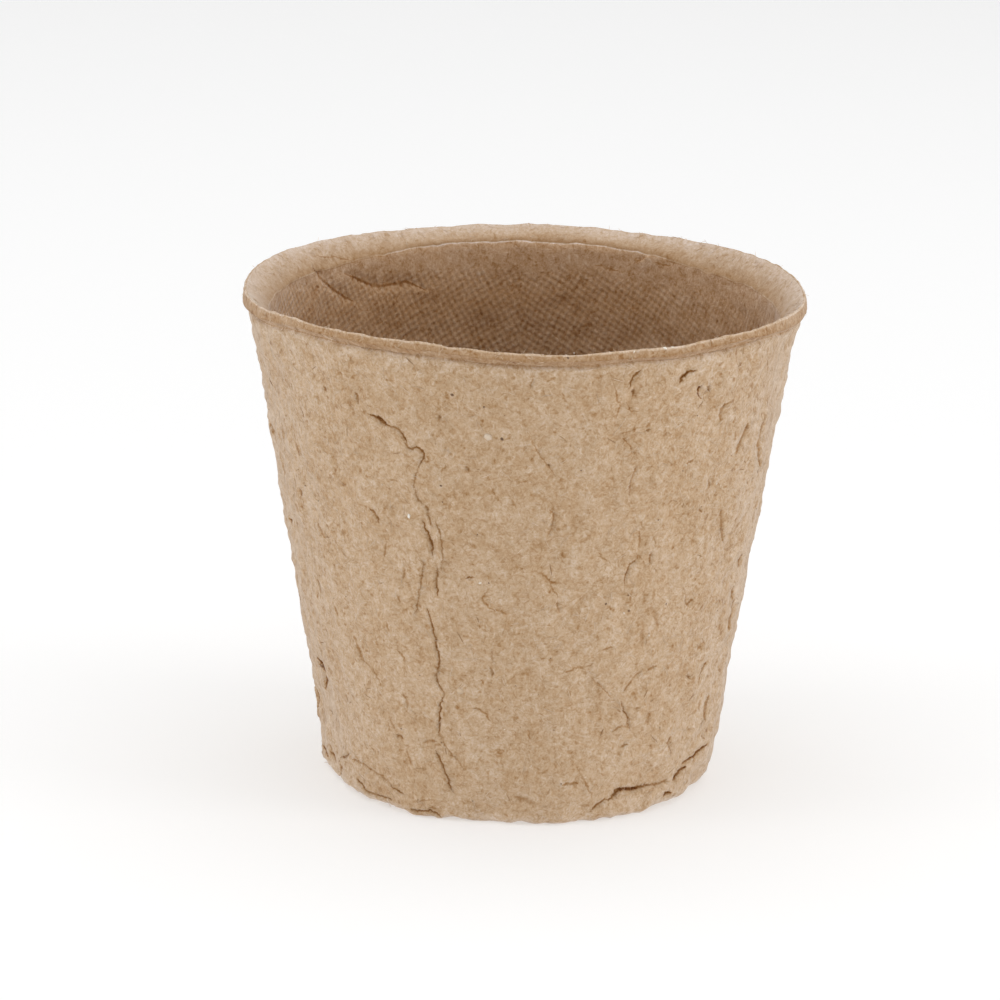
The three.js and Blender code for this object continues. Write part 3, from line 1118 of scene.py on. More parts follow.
# %% Streaks, shades and stains that it shows
SEEN_MARKS |= {
    "streak": {
        "heel crack, thin run": [(648, 785), (656, 784), (669, 781)],
        "forked fold, right end": [(648, 670), (656, 666)],
        "low right dimple": [(729, 629), (731, 615), (733, 601)],
        "low right streak": [(705, 720), (706, 708), (708, 697)],
        "second right dimple": [(732, 598), (733, 587)],
        "lower right streak": [(723, 541), (722, 525), (721, 509)],
        "far right streak": [(760, 467), (759, 445), (763, 422)],
        "right streak": [(736, 453), (742, 439), (748, 424)],
        "left twig": [(425, 742), (436, 741)],
        "above the left twig": [(404, 568), (403, 578)],
        "below the band, second": [(533, 379), (530, 388)],
        "low on the right": [(685, 595), (687, 605), (692, 600)],
        "under that": [(557, 602), (559, 612)],
        "below the forked fold": [(621, 747), (627, 745)],
        "hook low on the right": [(672, 734), (669, 745), (672, 754), (668, 757)],
        "above the curl": [(637, 466), (632, 480), (629, 494)],
        "beside the curl": [(651, 552), (649, 563)],
        "hook": [(550, 510), (553, 515), (552, 525), (547, 537)],
        "above the heel in front": [(563, 785), (577, 783)],
        "left edge, high": [(271, 424), (273, 433)],
        "low on the left": [(357, 644), (360, 655), (364, 662)],
        "stub in the left heel": [(341, 765), (340, 775)],
        "heel chain": [(353, 760), (361, 763), (366, 765)],
        "short, on the right": [(720, 420), (722, 410), (728, 403)],
        "right tick": [(709, 477), (709, 486)],
    },
    "shade": {
        "in front of the heel": [(515, 797), (535, 803)],
        "curl, head": [(636, 557), (640, 557)],
        "beside the forked fold": [(652, 711), (649, 718), (647, 725)],
        "above the forked fold": [(643, 630), (642, 646)],
        "below the curl": [(645, 612), (653, 610), (658, 627)],
    },
    "stain": {
        "forked fold, spot": [(598, 684), (601, 687)],
        "right fold inside": [(595, 265), (618, 271)],
        "crease in the flare": [(316, 256), (332, 257), (349, 260)],
        "heel crack, twig": [(578, 768), (584, 779), (592, 797)],
        "beside it": [(481, 680), (483, 684)],
        "far crease inside": [(656, 262), (671, 265)],
        "curl, tail": [(632, 590), (631, 602)],
        "upright line": [(616, 389), (619, 405), (617, 417)],
        "in the middle": [(510, 497), (517, 508)],
        "loop, end": [(494, 610), (506, 613)],
        "below the hook": [(538, 573), (546, 577), (552, 588), (557, 597)],
        "right of the loop": [(566, 672), (578, 668), (592, 665)],
        "left of the crack": [(354, 636), (357, 643)],
        "below the band, third": [(563, 393), (567, 402)],
        "by the lower crack": [(398, 650), (404, 660)],
        "left of the sliver": [(397, 596), (399, 602)],
        "left of the lower crack": [(387, 623), (388, 630)],
        "left of the bend": [(390, 480), (397, 481)],
        "left, in the middle": [(386, 543), (385, 556)],
        "left edge, third": [(296, 443), (299, 455)],
        "left edge, fourth": [(296, 504), (298, 511)],
        "left edge, fifth": [(318, 580), (321, 592)],
        "right tick, high": [(688, 463), (693, 460)],
        "right edge line": [(757, 499), (753, 520), (752, 533)],
        "right ticks, low": [(694, 693), (689, 701)],
        "right ticks, second": [(700, 699), (699, 710)],
        "dash over the forked fold": [(613, 647), (603, 650)],
        "beside the curl, thin": [(599, 553), (606, 561)],
        "dash by the bend": [(445, 465), (442, 473)],
        "loop": [(487, 592), (483, 598), (486, 605), (494, 610)],
        "below the broad fleck": [(475, 708), (484, 712), (490, 720)],
        "slanting, on the left": [(318, 523), (321, 531), (325, 538)],
        "beside the lower crack": [(404, 694), (407, 702), (408, 708)],
        "above the heel on the left": [(407, 750), (409, 757), (411, 763)],
        "over the curl": [(639, 530), (640, 540), (638, 548)],
        "left edge": [(283, 463), (285, 474)],
        "left, low": [(335, 607), (338, 614)],
    },
}
print("marks in the picture:", {kind: len(routes) for kind, routes in SEEN_MARKS.items()})

# %% Folds, creases and pits that it shows
SEEN_MARKS |= {
    "fold": {
        "bend, lower run": [(415, 489), (417, 496), (422, 503)],
        "step": [(427, 514), (431, 524)],
        "right branch": [(436, 522), (441, 537), (443, 560), (442, 570)],
        "left sliver": [(423, 562), (421, 585), (416, 613)],
        "lifted edge, arm": [(622, 437), (629, 444), (632, 458)],
        "forked fold, foot": [(613, 731), (620, 727), (629, 727)],
        "forked fold, left arm": [(594, 680), (600, 686), (611, 697)],
        "forked fold, right arm": [(624, 690), (631, 681), (641, 671)],
        "rising fold inside": [(637, 262), (646, 257)],
        "heel chain, middle": [(367, 766), (375, 772), (385, 778), (392, 786)],
    },
    "crease": {
        "under the stub": [(626, 402), (630, 410), (638, 411)],
        "lifted edge": [(621, 433), (630, 432), (640, 429)],
        "right twig": [(441, 736), (448, 750), (457, 760), (463, 769)],
        "low in the middle": [(514, 731), (516, 738)],
        "low in the middle, second": [(528, 729), (529, 737)],
        "right, low": [(701, 638), (704, 643)],
        "bend, lower twig": [(422, 462), (428, 461)],
        "above the middle": [(527, 427), (531, 440), (540, 455), (548, 466), (555, 475)],
        "left edge, long": [(284, 442), (282, 433), (280, 424)],
        "by the left twig": [(391, 720), (394, 728)],
        "right of the broad fleck": [(492, 650), (492, 660)],
        "low on the left, end": [(364, 662), (372, 668), (377, 677), (381, 684)],
        "above the heel slit": [(416, 801), (426, 800), (436, 800)],
        "bend, thin run": [(418, 468), (414, 480), (415, 489)],
    },
    "pit": {
        "below the large fleck": [(466, 467), (469, 470)],
        "above the left heel": [(397, 735), (403, 738)],
        "right": [(699, 509), (701, 513)],
        "left": [(300, 489), (302, 495)],
        "spot": [(426, 506), (428, 511)],
        "stub": [(634, 389), (633, 396)],
        "lifted edge, end": [(646, 431), (650, 429)],
        "fold above the middle, spot": [(547, 464), (550, 467)],
        "low on the right": [(686, 676), (690, 678)],
        "right heel": [(702, 735), (704, 739)],
        "left, high": [(324, 387), (326, 391)],
        "right of the broad fleck": [(491, 668), (492, 676)],
        "left of the large fleck": [(440, 415), (439, 420)],
    },
}
print("marks in the picture:", {kind: len(routes) for kind, routes in SEEN_MARKS.items()})

# %% Wandering marks on the hidden sides
HIDDEN_SIDES = (82, 278)  # degrees from the front
HIDDEN_HEIGHTS = (5, 62)  # millimetres, where a mark starts
HIDDEN_LIMITS = (1.5, 66)  # and where it may run to
HIDDEN_COUNTS = {"crack": 6, "fold": 14, "streak": 8, "stain": 20, "pit": 12}
HIDDEN_LENGTHS = {"crack": 16.0, "fold": 5.0, "streak": 4.0, "stain": 2.5, "pit": 0.8}  # millimetres
LENGTH_RANGE = (0.6, 1.4)  # times those
WANDER_STEP = 1.6  # millimetres
SLANT = 0.6  # spread in radians of the first direction, about straight down
WANDER = 0.45  # and of each turn from there


def wander(draw, length):
    """A route of angles and heights that starts anywhere and strays from its own direction."""
    angle = draw.uniform(*HIDDEN_SIDES)
    height = draw.uniform(*HIDDEN_HEIGHTS)
    heading = draw.gauss(-math.pi / 2, SLANT)
    lowest, highest = HIDDEN_LIMITS
    route = [(angle, height)]
    for number in range(max(1, round(length * draw.uniform(*LENGTH_RANGE) / WANDER_STEP))):
        heading += draw.gauss(0, WANDER)
        angle += math.degrees(math.cos(heading) * WANDER_STEP * MM / outer(height * MM))
        height = min(highest, max(lowest, height + math.sin(heading) * WANDER_STEP))
        route.append((angle, height))
    return route


def make_hidden_marks():
    """Kind and route of every mark on the hidden sides."""
    draw = random.Random(23)
    marks = []
    for kind, count in HIDDEN_COUNTS.items():
        marks += [(kind, wander(draw, HIDDEN_LENGTHS[kind])) for number in range(count)]
    return marks


hidden_marks = make_hidden_marks()
print("marks on the hidden sides:", len(hidden_marks))

# %% Lay the marks on the shell
SAMPLE = 0.08  # millimetres between samples of a mark
PIXELS_PER_MM = 7.0
WIDEST = 5.0  # a mark near the outline is widened no more than this
END_FULLNESS = 0.35  # how full a mark is at its ends
END_GROWTH = 3.5  # how fast it grows from there, per length of the mark
UNEVEN_FULLNESS = (0.75, 1.25)  # at each sample, by chance
STRAY = 0.055 * MM  # how far a narrow mark strays from its route at each sample
STRAY_KEPT = 0.8  # share of the stray that the next sample keeps
NARROW = 0.25  # half width in millimetres of a groove past which it strays less


def trace(surface, rays):
    """Where the rays meet the shell, with the normals there and the rays' directions."""
    hits = [(*surface.ray_cast(*ray)[:2], ray[1]) for ray in rays]
    return [hit for hit in hits if hit[0] is not None]


def widening(sideways, direction):
    """How much wider than it looks a mark is, because it is seen at a slant."""
    seen = (sideways - sideways.dot(direction) * direction).length
    return min(WIDEST, 1 / max(seen, 0.01))


def lay_mark(kind, hits, draw):
    """Samples of one mark: place, directions across and along, half widths, depth, edge, darkness."""
    line, groove, depth, edge, dark = MARK_KINDS[kind]
    samples = []
    stray = 0.0
    for number, (spot, normal, direction) in enumerate(hits):
        before, after = hits[max(0, number - 1)][0], hits[min(len(hits) - 1, number + 1)][0]
        share = number / max(1, len(hits) - 1)
        fullness = min(1.0, END_GROWTH * min(share, 1 - share) + END_FULLNESS)
        fullness *= draw.uniform(*UNEVEN_FULLNESS)
        sideways = (after - before).cross(normal).normalized()
        stray = STRAY_KEPT * stray + draw.gauss(0, STRAY) * min(1.0, NARROW / groove)
        place = spot + stray * sideways
        wide = fullness * widening(sideways, direction)
        sizes = [size * MM for size in (line * wide, groove * wide, depth * fullness)]
        samples.append((place, sideways, sideways.cross(normal), *sizes, edge * MM, dark))
    return samples


def all_samples(surface):
    """Samples of all marks, the seen ones first."""
    draw = random.Random(5)
    samples = []
    for kind, routes in SEEN_MARKS.items():
        for route in routes.values():
            rays = [pixel_ray(*point) for point in smooth_route(route, SAMPLE * PIXELS_PER_MM)]
            samples += lay_mark(kind, trace(surface, rays), draw)
    for kind, route in hidden_marks:
        rays = [side_ray(*point) for point in smooth_route(route, SAMPLE)]
        samples += lay_mark(kind, trace(surface, rays), draw)
    return samples


samples = all_samples(surface_of(shell_mesh))
nearby = KDTree(len(samples))
for number, sample in enumerate(samples):
    nearby.insert(sample[0], number)
nearby.balance()
print("samples of marks:", len(samples))

# %% Carve the marks
REFINED = (0.75 * MM, 0.38 * MM)  # edges whose middle is this near to a mark are split, once for each
MARK_REACH = 4.0 * MM
LEAST_REACH = 0.45 * MM  # how far from its route a mark darkens the pulp, at least
LINE_REACH = 3.0  # and in half widths of its line
LAP_WIDTH = 1.1 * MM  # over which a raised side sinks back
END_FADE = 0.5 * MM  # how far a raised side runs on past the end of its mark
LINE_END = 0.14 * MM  # how far the dark line does


def refine(shape, reach):
    """Splits the edges whose middle lies within reach of a mark."""
    middles = ((edge, (edge.verts[0].co + edge.verts[1].co) / 2) for edge in shape.edges)
    edges = [edge for edge, middle in middles if nearby.find(middle)[2] < reach]
    bmesh.ops.subdivide_edges(shape, edges=edges, cuts=1, use_grid_fill=True)
    shape.normal_update()


def carve(shape):
    """Sinks the grooves, raises one side of each and writes the attributes of the dark lines."""
    darkness = shape.verts.layers.float.new("crack")
    across = shape.verts.layers.float.new("across")
    moves = []
    for vertex in shape.verts:
        place, index, gap = nearby.find(vertex.co)
        if gap > MARK_REACH:
            continue
        middle, sideways, along, line, groove, depth, edge, dark = samples[index]
        beside = (vertex.co - middle).dot(sideways)
        past_end = (vertex.co - middle).dot(along) ** 2
        sunk = depth * max(0.0, 1 - (gap / groove) ** 2)
        step = min(1.0, max(0.0, 0.5 + beside / groove))
        lap = edge * step * math.exp(-max(0.0, beside) / LAP_WIDTH - past_end / END_FADE**2)
        moves.append((vertex, (lap - sunk) * vertex.normal))
        vertex[across] = beside / line
        near = min(1.0, max(0.0, 2 - 2 * gap / max(LEAST_REACH, LINE_REACH * line)))
        vertex[darkness] = dark * near * math.exp(-past_end / LINE_END**2)
    for vertex, move in moves:
        vertex.co += move


def cut_marks(mesh):
    """Carves the marks into a mesh that is refined round them, and prints if it is closed."""
    shape = bmesh.new()
    shape.from_mesh(mesh)
    for reach in REFINED:
        refine(shape, reach)
    carve(shape)
    open_edges = sum(not edge.is_manifold for edge in shape.edges)
    print("volume", shape.calc_volume(signed=True), "open edges", open_edges)
    bmesh.ops.triangulate(shape, faces=[face for face in shape.faces if len(face.verts) > 4])
    shape.to_mesh(mesh)
    shape.free()


cut_marks(shell_mesh)
shell_mesh.calc_loop_triangles()
print("carved shell of", len(shell_mesh.loop_triangles), "triangles")

# %% [markdown]
# ## A flat map of the surface
# The wire cloth was cut flat and bent round the cone, so its print follows the flat pattern of a cone:
# a fan in which each height is an arc. This UV map lays every face on that fan, in millimetres, with
# the join at the back. The flare goes on from the top of the fan by its own length, and faces of the
# floor and of the underside keep their plain X and Y.

# %% Lay out the flat map
APEX = -CORNER_RADIUS / SLOPE
LEVEL_FACE = 0.75  # a face whose normal is steeper than this counts as floor


def lay_out_flat_map(mesh):
    """Writes the UV map and returns its name."""
    corners = np.empty(len(mesh.loops), np.int32)
    mesh.loops.foreach_get("vertex_index", corners)
    starts = np.empty(len(mesh.polygons), np.int32)
    mesh.polygons.foreach_get("loop_start", starts)
    places = np.empty(len(mesh.vertices) * 3, np.float32)
    mesh.vertices.foreach_get("co", places)
    x, y, z = places.reshape(-1, 3)[corners].T
    normals = np.empty(len(mesh.polygons) * 3, np.float32)
    mesh.polygons.foreach_get("normal", normals)
    face = np.repeat(np.arange(len(starts)), np.diff(np.append(starts, len(corners))))
    level = np.abs(normals.reshape(-1, 3)[face, 2]) > LEVEL_FACE
    angle = np.arctan2(x, -y)
    spread = np.maximum.reduceat(angle, starts) - np.minimum.reduceat(angle, starts)
    across_join = (spread > math.pi)[face]
    angle = np.where(across_join & (angle < 0), angle + 2 * math.pi, angle)
    reach = (z - APEX) / math.cos(TAPER)
    finishes = np.empty(len(mesh.polygons), np.int32)
    mesh.polygons.foreach_get("material_index", finishes)
    climb = np.hypot(np.hypot(x, y) - inner(HEIGHT - COVE), z - HEIGHT + COVE)
    reach = np.where(finishes[face] == FLARE, (HEIGHT - COVE - APEX) / math.cos(TAPER) + climb, reach)
    fan = angle * math.sin(TAPER)
    low = level & (z < HEEL_TOP)
    u = np.where(low, x, reach * np.sin(fan)) / MM
    v = np.where(low, y, reach * np.cos(fan)) / MM
    layer = mesh.uv_layers.new(name="flat_map")
    layer.uv.foreach_set("vector", np.stack([u, v], 1).astype(np.float32).ravel())
    return layer.name


print("laid out", lay_out_flat_map(shell_mesh))

# %% [markdown]
# ## Loose fibres
# Some fibres never felted in. They lie on the surface, or one end stands off it, and on the rim they
# show as a fringe of whiskers. There are thousands, so Geometry Nodes scatter them: a short line is
# put on each scattered point, turned at random, curled by noise, laid on the nearest surface, and
# given a thin three-sided body. A random tone for each fibre is stored for its material.

# %% Fibre materials
TONE_WAVES = 900.0  # waves per metre of the noise along a fibre
TONE_SWING = 0.5


def blended(tree, factor, first, second):
    """A mix of two colours."""
    node = add_node(tree, "ShaderNodeMix", {"Factor": factor}, data_type="RGBA")
    for number, colour in ((6, first), (7, second)):  # the node's two sockets for colours
        node.inputs[number].default_value = (*colour, 1.0)
    return node.outputs[2]


def make_fibre_material(name, darker, paler):
    """Colour between two tones, by the tone stored on each fibre and a little noise."""
    material = bpy.data.materials.new(name)
    material.use_nodes = True
    tree = material.node_tree
    shader = tree.nodes["Principled BSDF"]
    place = add_node(tree, "ShaderNodeTexCoord").outputs["Object"]
    uneven_tone = swing(tree, noise(tree, place, TONE_WAVES), TONE_SWING)
    tone = ramp(tree, maths(tree, "ADD", mesh_value(tree, "tone"), uneven_tone), 0.0, 1.0)
    tree.links.new(blended(tree, tone, darker, paler), shader.inputs["Base Color"])
    shader.inputs["Roughness"].default_value = 0.8
    shader.inputs["Specular IOR Level"].default_value = 0.3
    return material


pale_fibre = make_fibre_material("pale_fibre", (0.55, 0.40, 0.27), (0.70, 0.56, 0.42))
dark_fibre = make_fibre_material("dark_fibre", (0.25, 0.125, 0.045), (0.43, 0.27, 0.13))
print("materials", pale_fibre.name, dark_fibre.name)

# %% Scatter lines on the surface
SPIN_SEED, LENGTH_SEED, TONE_SEED, STAND_SEED = 3, 4, 5, 6
LINE_POINTS = 6
FIBRE_LENGTHS = (0.45, 1.5)  # by chance, times the length given


def facing_side(tree, given):
    """True on faces that look to the wanted side and lie between the two heights."""
    x, y, z = separate(tree, output(tree, "GeometryNodeInputPosition"))
    normal = output(tree, "GeometryNodeInputNormal")
    out = vector_maths(tree, "NORMALIZE", combine(tree, x, y))
    facing = times(tree, vector_maths(tree, "DOT_PRODUCT", normal, out), given["Side"])
    margin = maths(tree, "SUBTRACT", facing, given["Least Facing"])
    margin = maths(tree, "MINIMUM", margin, maths(tree, "SUBTRACT", z, given["Lowest"]))
    margin = maths(tree, "MINIMUM", margin, maths(tree, "SUBTRACT", given["Highest"], z))
    return greater(tree, margin, 0.0)


def random_number(tree, low, high, seed):
    """A random number for each point or instance."""
    node = add_node(tree, "FunctionNodeRandomValue", {"Seed": seed}, data_type="FLOAT")
    feed(tree, node.inputs[2], low)
    feed(tree, node.inputs[3], high)
    return node.outputs[1]


def spun(tree, rotation):
    """A rotation with a random turn about its own upright axis."""
    spin = combine(tree, z=random_number(tree, 0.0, 2 * math.pi, SPIN_SEED))
    spin = output(tree, "FunctionNodeEulerToRotation", {"Euler": spin})
    turned = {"Rotation": rotation, "Rotate By": spin}
    return output(tree, "FunctionNodeRotateRotation", turned, rotation_space="LOCAL")


def scattered_lines(tree, given):
    """Straight lines that lie on the surface in every direction, each with a tone and a stand."""
    where = {"Mesh": given["Geometry"], "Selection": facing_side(tree, given)}
    points = add_node(tree, "GeometryNodeDistributePointsOnFaces", where)
    feed(tree, points.inputs["Density"], given["Density"])
    feed(tree, points.inputs["Seed"], given["Seed"])
    ends = {"Start": (0, 0, 0), "End": (1, 0, 0)}
    line = output(tree, "GeometryNodeCurvePrimitiveLine", ends)
    line = output(tree, "GeometryNodeResampleCurve", {"Curve": line, "Count": LINE_POINTS})
    aim = spun(tree, points.outputs["Rotation"])
    length = times(tree, given["Length"], random_number(tree, *FIBRE_LENGTHS, LENGTH_SEED))
    laid = {"Points": points.outputs["Points"], "Instance": line, "Rotation": aim, "Scale": length}
    lines = output(tree, "GeometryNodeInstanceOnPoints", laid)
    for name, seed in (("tone", TONE_SEED), ("stand", STAND_SEED)):
        chance = {"Geometry": lines, "Name": name, "Value": random_number(tree, 0.0, 1.0, seed)}
        lines = output(tree, "GeometryNodeStoreNamedAttribute", chance, domain="INSTANCE")
    return output(tree, "GeometryNodeRealizeInstances", {"Geometry": lines})


print("points along each fibre:", LINE_POINTS)

# %% Geometry Nodes: loose fibres
CURL_WAVES = 650.0  # waves per metre
LYING_HEIGHT = 0.3  # how far above the surface a fibre's middle lies, in thicknesses
THIN_ENDS = (3.0, 0.7)  # how late a fibre thins towards its ends, and by how much


def lie_down(tree, given, lines, along):
    """The lines curled and laid on the nearest surface, with one end standing off it."""
    curl = straying(tree, output(tree, "GeometryNodeInputPosition"), CURL_WAVES, given["Curl"])
    lines = output(tree, "GeometryNodeSetPosition", {"Geometry": lines, "Offset": curl})
    skin = given["Geometry"]
    nearest = output(tree, "GeometryNodeProximity", {"Geometry": skin}, target_element="FACES")
    up = add_node(tree, "GeometryNodeSampleNearestSurface", {"Mesh": skin}, data_type="FLOAT_VECTOR")
    feed(tree, up.inputs["Value"], output(tree, "GeometryNodeInputNormal"))
    stand = times(tree, stored(tree, "stand"), given["Rise"])
    rise = times(tree, times(tree, along, along), stand)
    rise = maths(tree, "MULTIPLY_ADD", given["Thickness"], LYING_HEIGHT, rise)
    spot = vector_maths(tree, "SCALE", up.outputs["Value"], scale=rise)
    spot = vector_maths(tree, "ADD", nearest, spot)
    return output(tree, "GeometryNodeSetPosition", {"Geometry": lines, "Position": spot})


def make_fibre_tree():
    sizes = [("Length", FLOAT, 1.8 * MM), ("Thickness", FLOAT, 0.05 * MM), ("Curl", FLOAT, 0.5 * MM)]
    stand = [("Rise", FLOAT, 0.0), ("Density", FLOAT, 1.0e5), ("Side", FLOAT, 1.0)]
    region = [("Least Facing", FLOAT, 0.25), ("Lowest", FLOAT, 0.0), ("Highest", FLOAT, 1.0)]
    chance = [("Seed", INTEGER, 1), ("Material", MATERIAL, None)]
    inputs = [("Geometry", GEOMETRY, None), *sizes, *stand, *region, *chance]
    outputs = [("Geometry", GEOMETRY)]
    tree, given, result = new_tree("loose fibres", "GeometryNodeTree", inputs, outputs)
    along = add_node(tree, "GeometryNodeSplineParameter").outputs["Factor"]
    fibres = lie_down(tree, given, scattered_lines(tree, given), along)
    from_middle = maths(tree, "ABSOLUTE", maths(tree, "MULTIPLY_ADD", along, 2.0, -1.0))
    ends = maths(tree, "POWER", from_middle, THIN_ENDS[0])
    girth = times(tree, given["Thickness"], maths(tree, "MULTIPLY_ADD", ends, -THIN_ENDS[1], 1.0))
    body = output(tree, "GeometryNodeCurvePrimitiveCircle", {"Resolution": 3})
    tube = {"Curve": fibres, "Profile Curve": body, "Scale": girth, "Fill Caps": True}
    shape = output(tree, "GeometryNodeCurveToMesh", tube)
    shape = output(tree, "GeometryNodeRealizeInstances", {"Geometry": shape})
    painted = {"Geometry": shape, "Material": given["Material"]}
    tree.links.new(output(tree, "GeometryNodeSetMaterial", painted), result["Geometry"])
    return tree


fibre_tree = make_fibre_tree()
print("made", fibre_tree.name)

# %% Scatter the loose fibres
FIBRE_SETS = {
    "pale_fibres": {
        "Density": 3.5e4,
        "Length": 1.4 * MM,
        "Thickness": 0.05 * MM,
        "Material": pale_fibre,
    },
    "dark_fibres": {
        "Density": 0.9e4,
        "Length": 1.2 * MM,
        "Thickness": 0.055 * MM,
        "Material": dark_fibre,
    },
    "inner_fibres": {
        "Density": 0.7e4,
        "Length": 1.3 * MM,
        "Side": -1.0,
        "Material": dark_fibre,
    },
    "rim_whiskers": {
        "Density": 4.0e5,
        "Length": 0.9 * MM,
        "Thickness": 0.03 * MM,
        "Rise": 0.7 * MM,
        "Side": 0.0,
        "Least Facing": -1.0,
        "Lowest": HEIGHT - 1.4 * MM,
        "Material": pale_fibre,
    },
    "heel_hairs": {
        "Density": 1.2e5,
        "Length": 1.2 * MM,
        "Thickness": 0.03 * MM,
        "Rise": 0.6 * MM,
        "Lowest": 0.6 * MM,
        "Highest": 5 * MM,
        "Material": pale_fibre,
    },
}


def make_piece(name, mesh, tree, values):
    """A finished piece of plain mesh, made by the tree from a mesh."""
    piece = node_object(name, mesh, tree, values)
    print(name, len(plain_mesh(piece).polygons), "faces")
    return piece


def scatter_fibres():
    """Each set of loose fibres as one piece, with a seed of its own."""
    pieces = []
    for seed, (name, values) in enumerate(FIBRE_SETS.items(), start=11):
        pieces.append(make_piece(name, shell_mesh, fibre_tree, {**values, "Seed": seed}))
    return pieces


fibre_pieces = scatter_fibres()

# %% [markdown]
# ## Flecks
# Bits of white paper, bark and ink stay in recycled pulp. Each is a small uneven chip, half sunk into
# the surface. A few lie where the picture shows them, and the rest are strewn from a fixed seed. Along
# the lip, more pale ones stand for tufts of broken fibre.

# %% Geometry Nodes: chips on points
FORM_SEED = 4
NARROWEST = 0.5  # width of a chip by its length, at least
CHIP_WAVES = 3500.0  # waves per metre of a chip's uneven form
CHIP_SWING = 0.4 * MM


def make_chip_tree():
    sizes = [("Flatness", FLOAT, 0.3), ("Unevenness", FLOAT, 0.6)]
    inputs = [("Points", GEOMETRY, None), *sizes, ("Material", MATERIAL, None)]
    outputs = [("Geometry", GEOMETRY)]
    tree, given, result = new_tree("chips on points", "GeometryNodeTree", inputs, outputs)
    chip = output(tree, "GeometryNodeMeshIcoSphere", {"Radius": 1.0, "Subdivisions": 1})
    out = {"Vector": stored(tree, "out", "FLOAT_VECTOR")}
    aim = spun(tree, output(tree, "FunctionNodeAlignRotationToVector", out, axis="Z"))
    form = combine(tree, 1.0, random_number(tree, NARROWEST, 1.0, FORM_SEED), given["Flatness"])
    form = vector_maths(tree, "SCALE", form, scale=stored(tree, "size"))
    laid = {"Points": given["Points"], "Instance": chip, "Rotation": aim, "Scale": form}
    chips = output(tree, "GeometryNodeInstanceOnPoints", laid)
    chips = output(tree, "GeometryNodeRealizeInstances", {"Geometry": chips})
    place = output(tree, "GeometryNodeInputPosition")
    rough = straying(tree, place, CHIP_WAVES, times(tree, given["Unevenness"], CHIP_SWING))
    chips = output(tree, "GeometryNodeSetPosition", {"Geometry": chips, "Offset": rough})
    chips = output(tree, "GeometryNodeSetShadeSmooth", {"Geometry": chips})
    painted = {"Geometry": chips, "Material": given["Material"]}
    tree.links.new(output(tree, "GeometryNodeSetMaterial", painted), result["Geometry"])
    return tree


chip_tree = make_chip_tree()
print("made", chip_tree.name)

# %% Flecks that the picture shows, and how many more there are
SEEN_FLECKS = {  # pixel, size in millimetres, and tone from 0, the darkest, to 1
    "pale_flecks": {
        "large, above the middle": ((488, 437), 0.72, 0.28),
        "bright, by the crack": ((409, 516), 0.40, 1.0),
        "broad, below": ((460, 691), 0.62, 0.1),
        "small, on the right": ((624, 613), 0.22, 0.5),
        "by the dash": ((480, 583), 0.26, 0.5),
        "tuft on the rim": ((574, 353), 0.24, 0.8),
        "second tuft": ((634, 352), 0.20, 0.7),
        "third tuft": ((665, 348), 0.32, 0.8),
        "fourth tuft": ((672, 347), 0.22, 0.7),
    },
    "dark_flecks": {
        "high, left of the middle": ((452, 395), 0.28, 0.5),
        "beside it": ((484, 407), 0.22, 0.2),
        "by the large pale one": ((502, 439), 0.30, 0.2),
        "right of the crack": ((441, 486), 0.22, 0.2),
        "on the band": ((568, 358), 0.20, 0.1),
        "right, low": ((606, 604), 0.20, 0.2),
        "right of that": ((666, 604), 0.20, 0.2),
        "grey, below the curl": ((629, 611), 0.22, 0.9),
    },
}
STREWN_FLECKS = {"pale_flecks": (90, 0.09, 0.20), "dark_flecks": (160, 0.06, 0.14)}  # count, sizes in mm
STREWN_HEIGHTS = (2, 67)  # millimetres
STREWN_TONES = (0.0, 0.7)
RIM_TUFTS = {"pale_flecks": (150, 0.07, 0.16), "dark_flecks": (0, 0.0, 0.0)}  # the same along the lip
TUFT_TONES = (0.1, 0.5)
FLECK_MATERIALS = {
    "pale_flecks": make_fibre_material("pale_fleck", (0.58, 0.43, 0.29), (0.88, 0.84, 0.76)),
    "dark_flecks": make_fibre_material("dark_fleck", (0.14, 0.085, 0.05), (0.26, 0.155, 0.085)),
}
print("flecks in the picture:", sum(len(flecks) for flecks in SEEN_FLECKS.values()))

# %% Strew the flecks
def strew(name, surface, draw):
    """A mesh of points, each with the direction out of the surface, the size and the tone of its chip."""
    chips = [(pixel_ray(*pixel), size, tone) for pixel, size, tone in SEEN_FLECKS[name].values()]
    count, *sizes = STREWN_FLECKS[name]
    for number in range(count):
        ray = side_ray(draw.uniform(0, 360), draw.uniform(*STREWN_HEIGHTS))
        chips.append((ray, draw.uniform(*sizes), draw.uniform(*STREWN_TONES)))
    count, *sizes = RIM_TUFTS[name]
    for number in range(count):
        ray = falling_ray(draw.uniform(0, 360), LIP_RADIUS - LIP_LEAN - LIP_EDGE)
        chips.append((ray, draw.uniform(*sizes), draw.uniform(*TUFT_TONES)))
    hits = [surface.ray_cast(*ray) for ray, size, tone in chips]
    mesh = bpy.data.meshes.new(name)
    mesh.from_pydata([hit[0] for hit in hits], [], [])
    out = mesh.attributes.new("out", "FLOAT_VECTOR", "POINT")
    out.data.foreach_set("vector", [part for hit in hits for part in hit[1]])
    spans = mesh.attributes.new("size", "FLOAT", "POINT")
    spans.data.foreach_set("value", [size * MM for ray, size, tone in chips])
    tones = mesh.attributes.new("tone", "FLOAT", "POINT")
    tones.data.foreach_set("value", [tone for ray, size, tone in chips])
    return mesh


def strew_flecks():
    """The pale and the dark flecks, each as one piece."""
    draw = random.Random(31)
    surface = surface_of(shell_mesh)
    pieces = []
    for name, material in FLECK_MATERIALS.items():
        points = strew(name, surface, draw)
        pieces.append(make_piece(name, points, chip_tree, {"Material": material}))
    return pieces


fleck_pieces = strew_flecks()

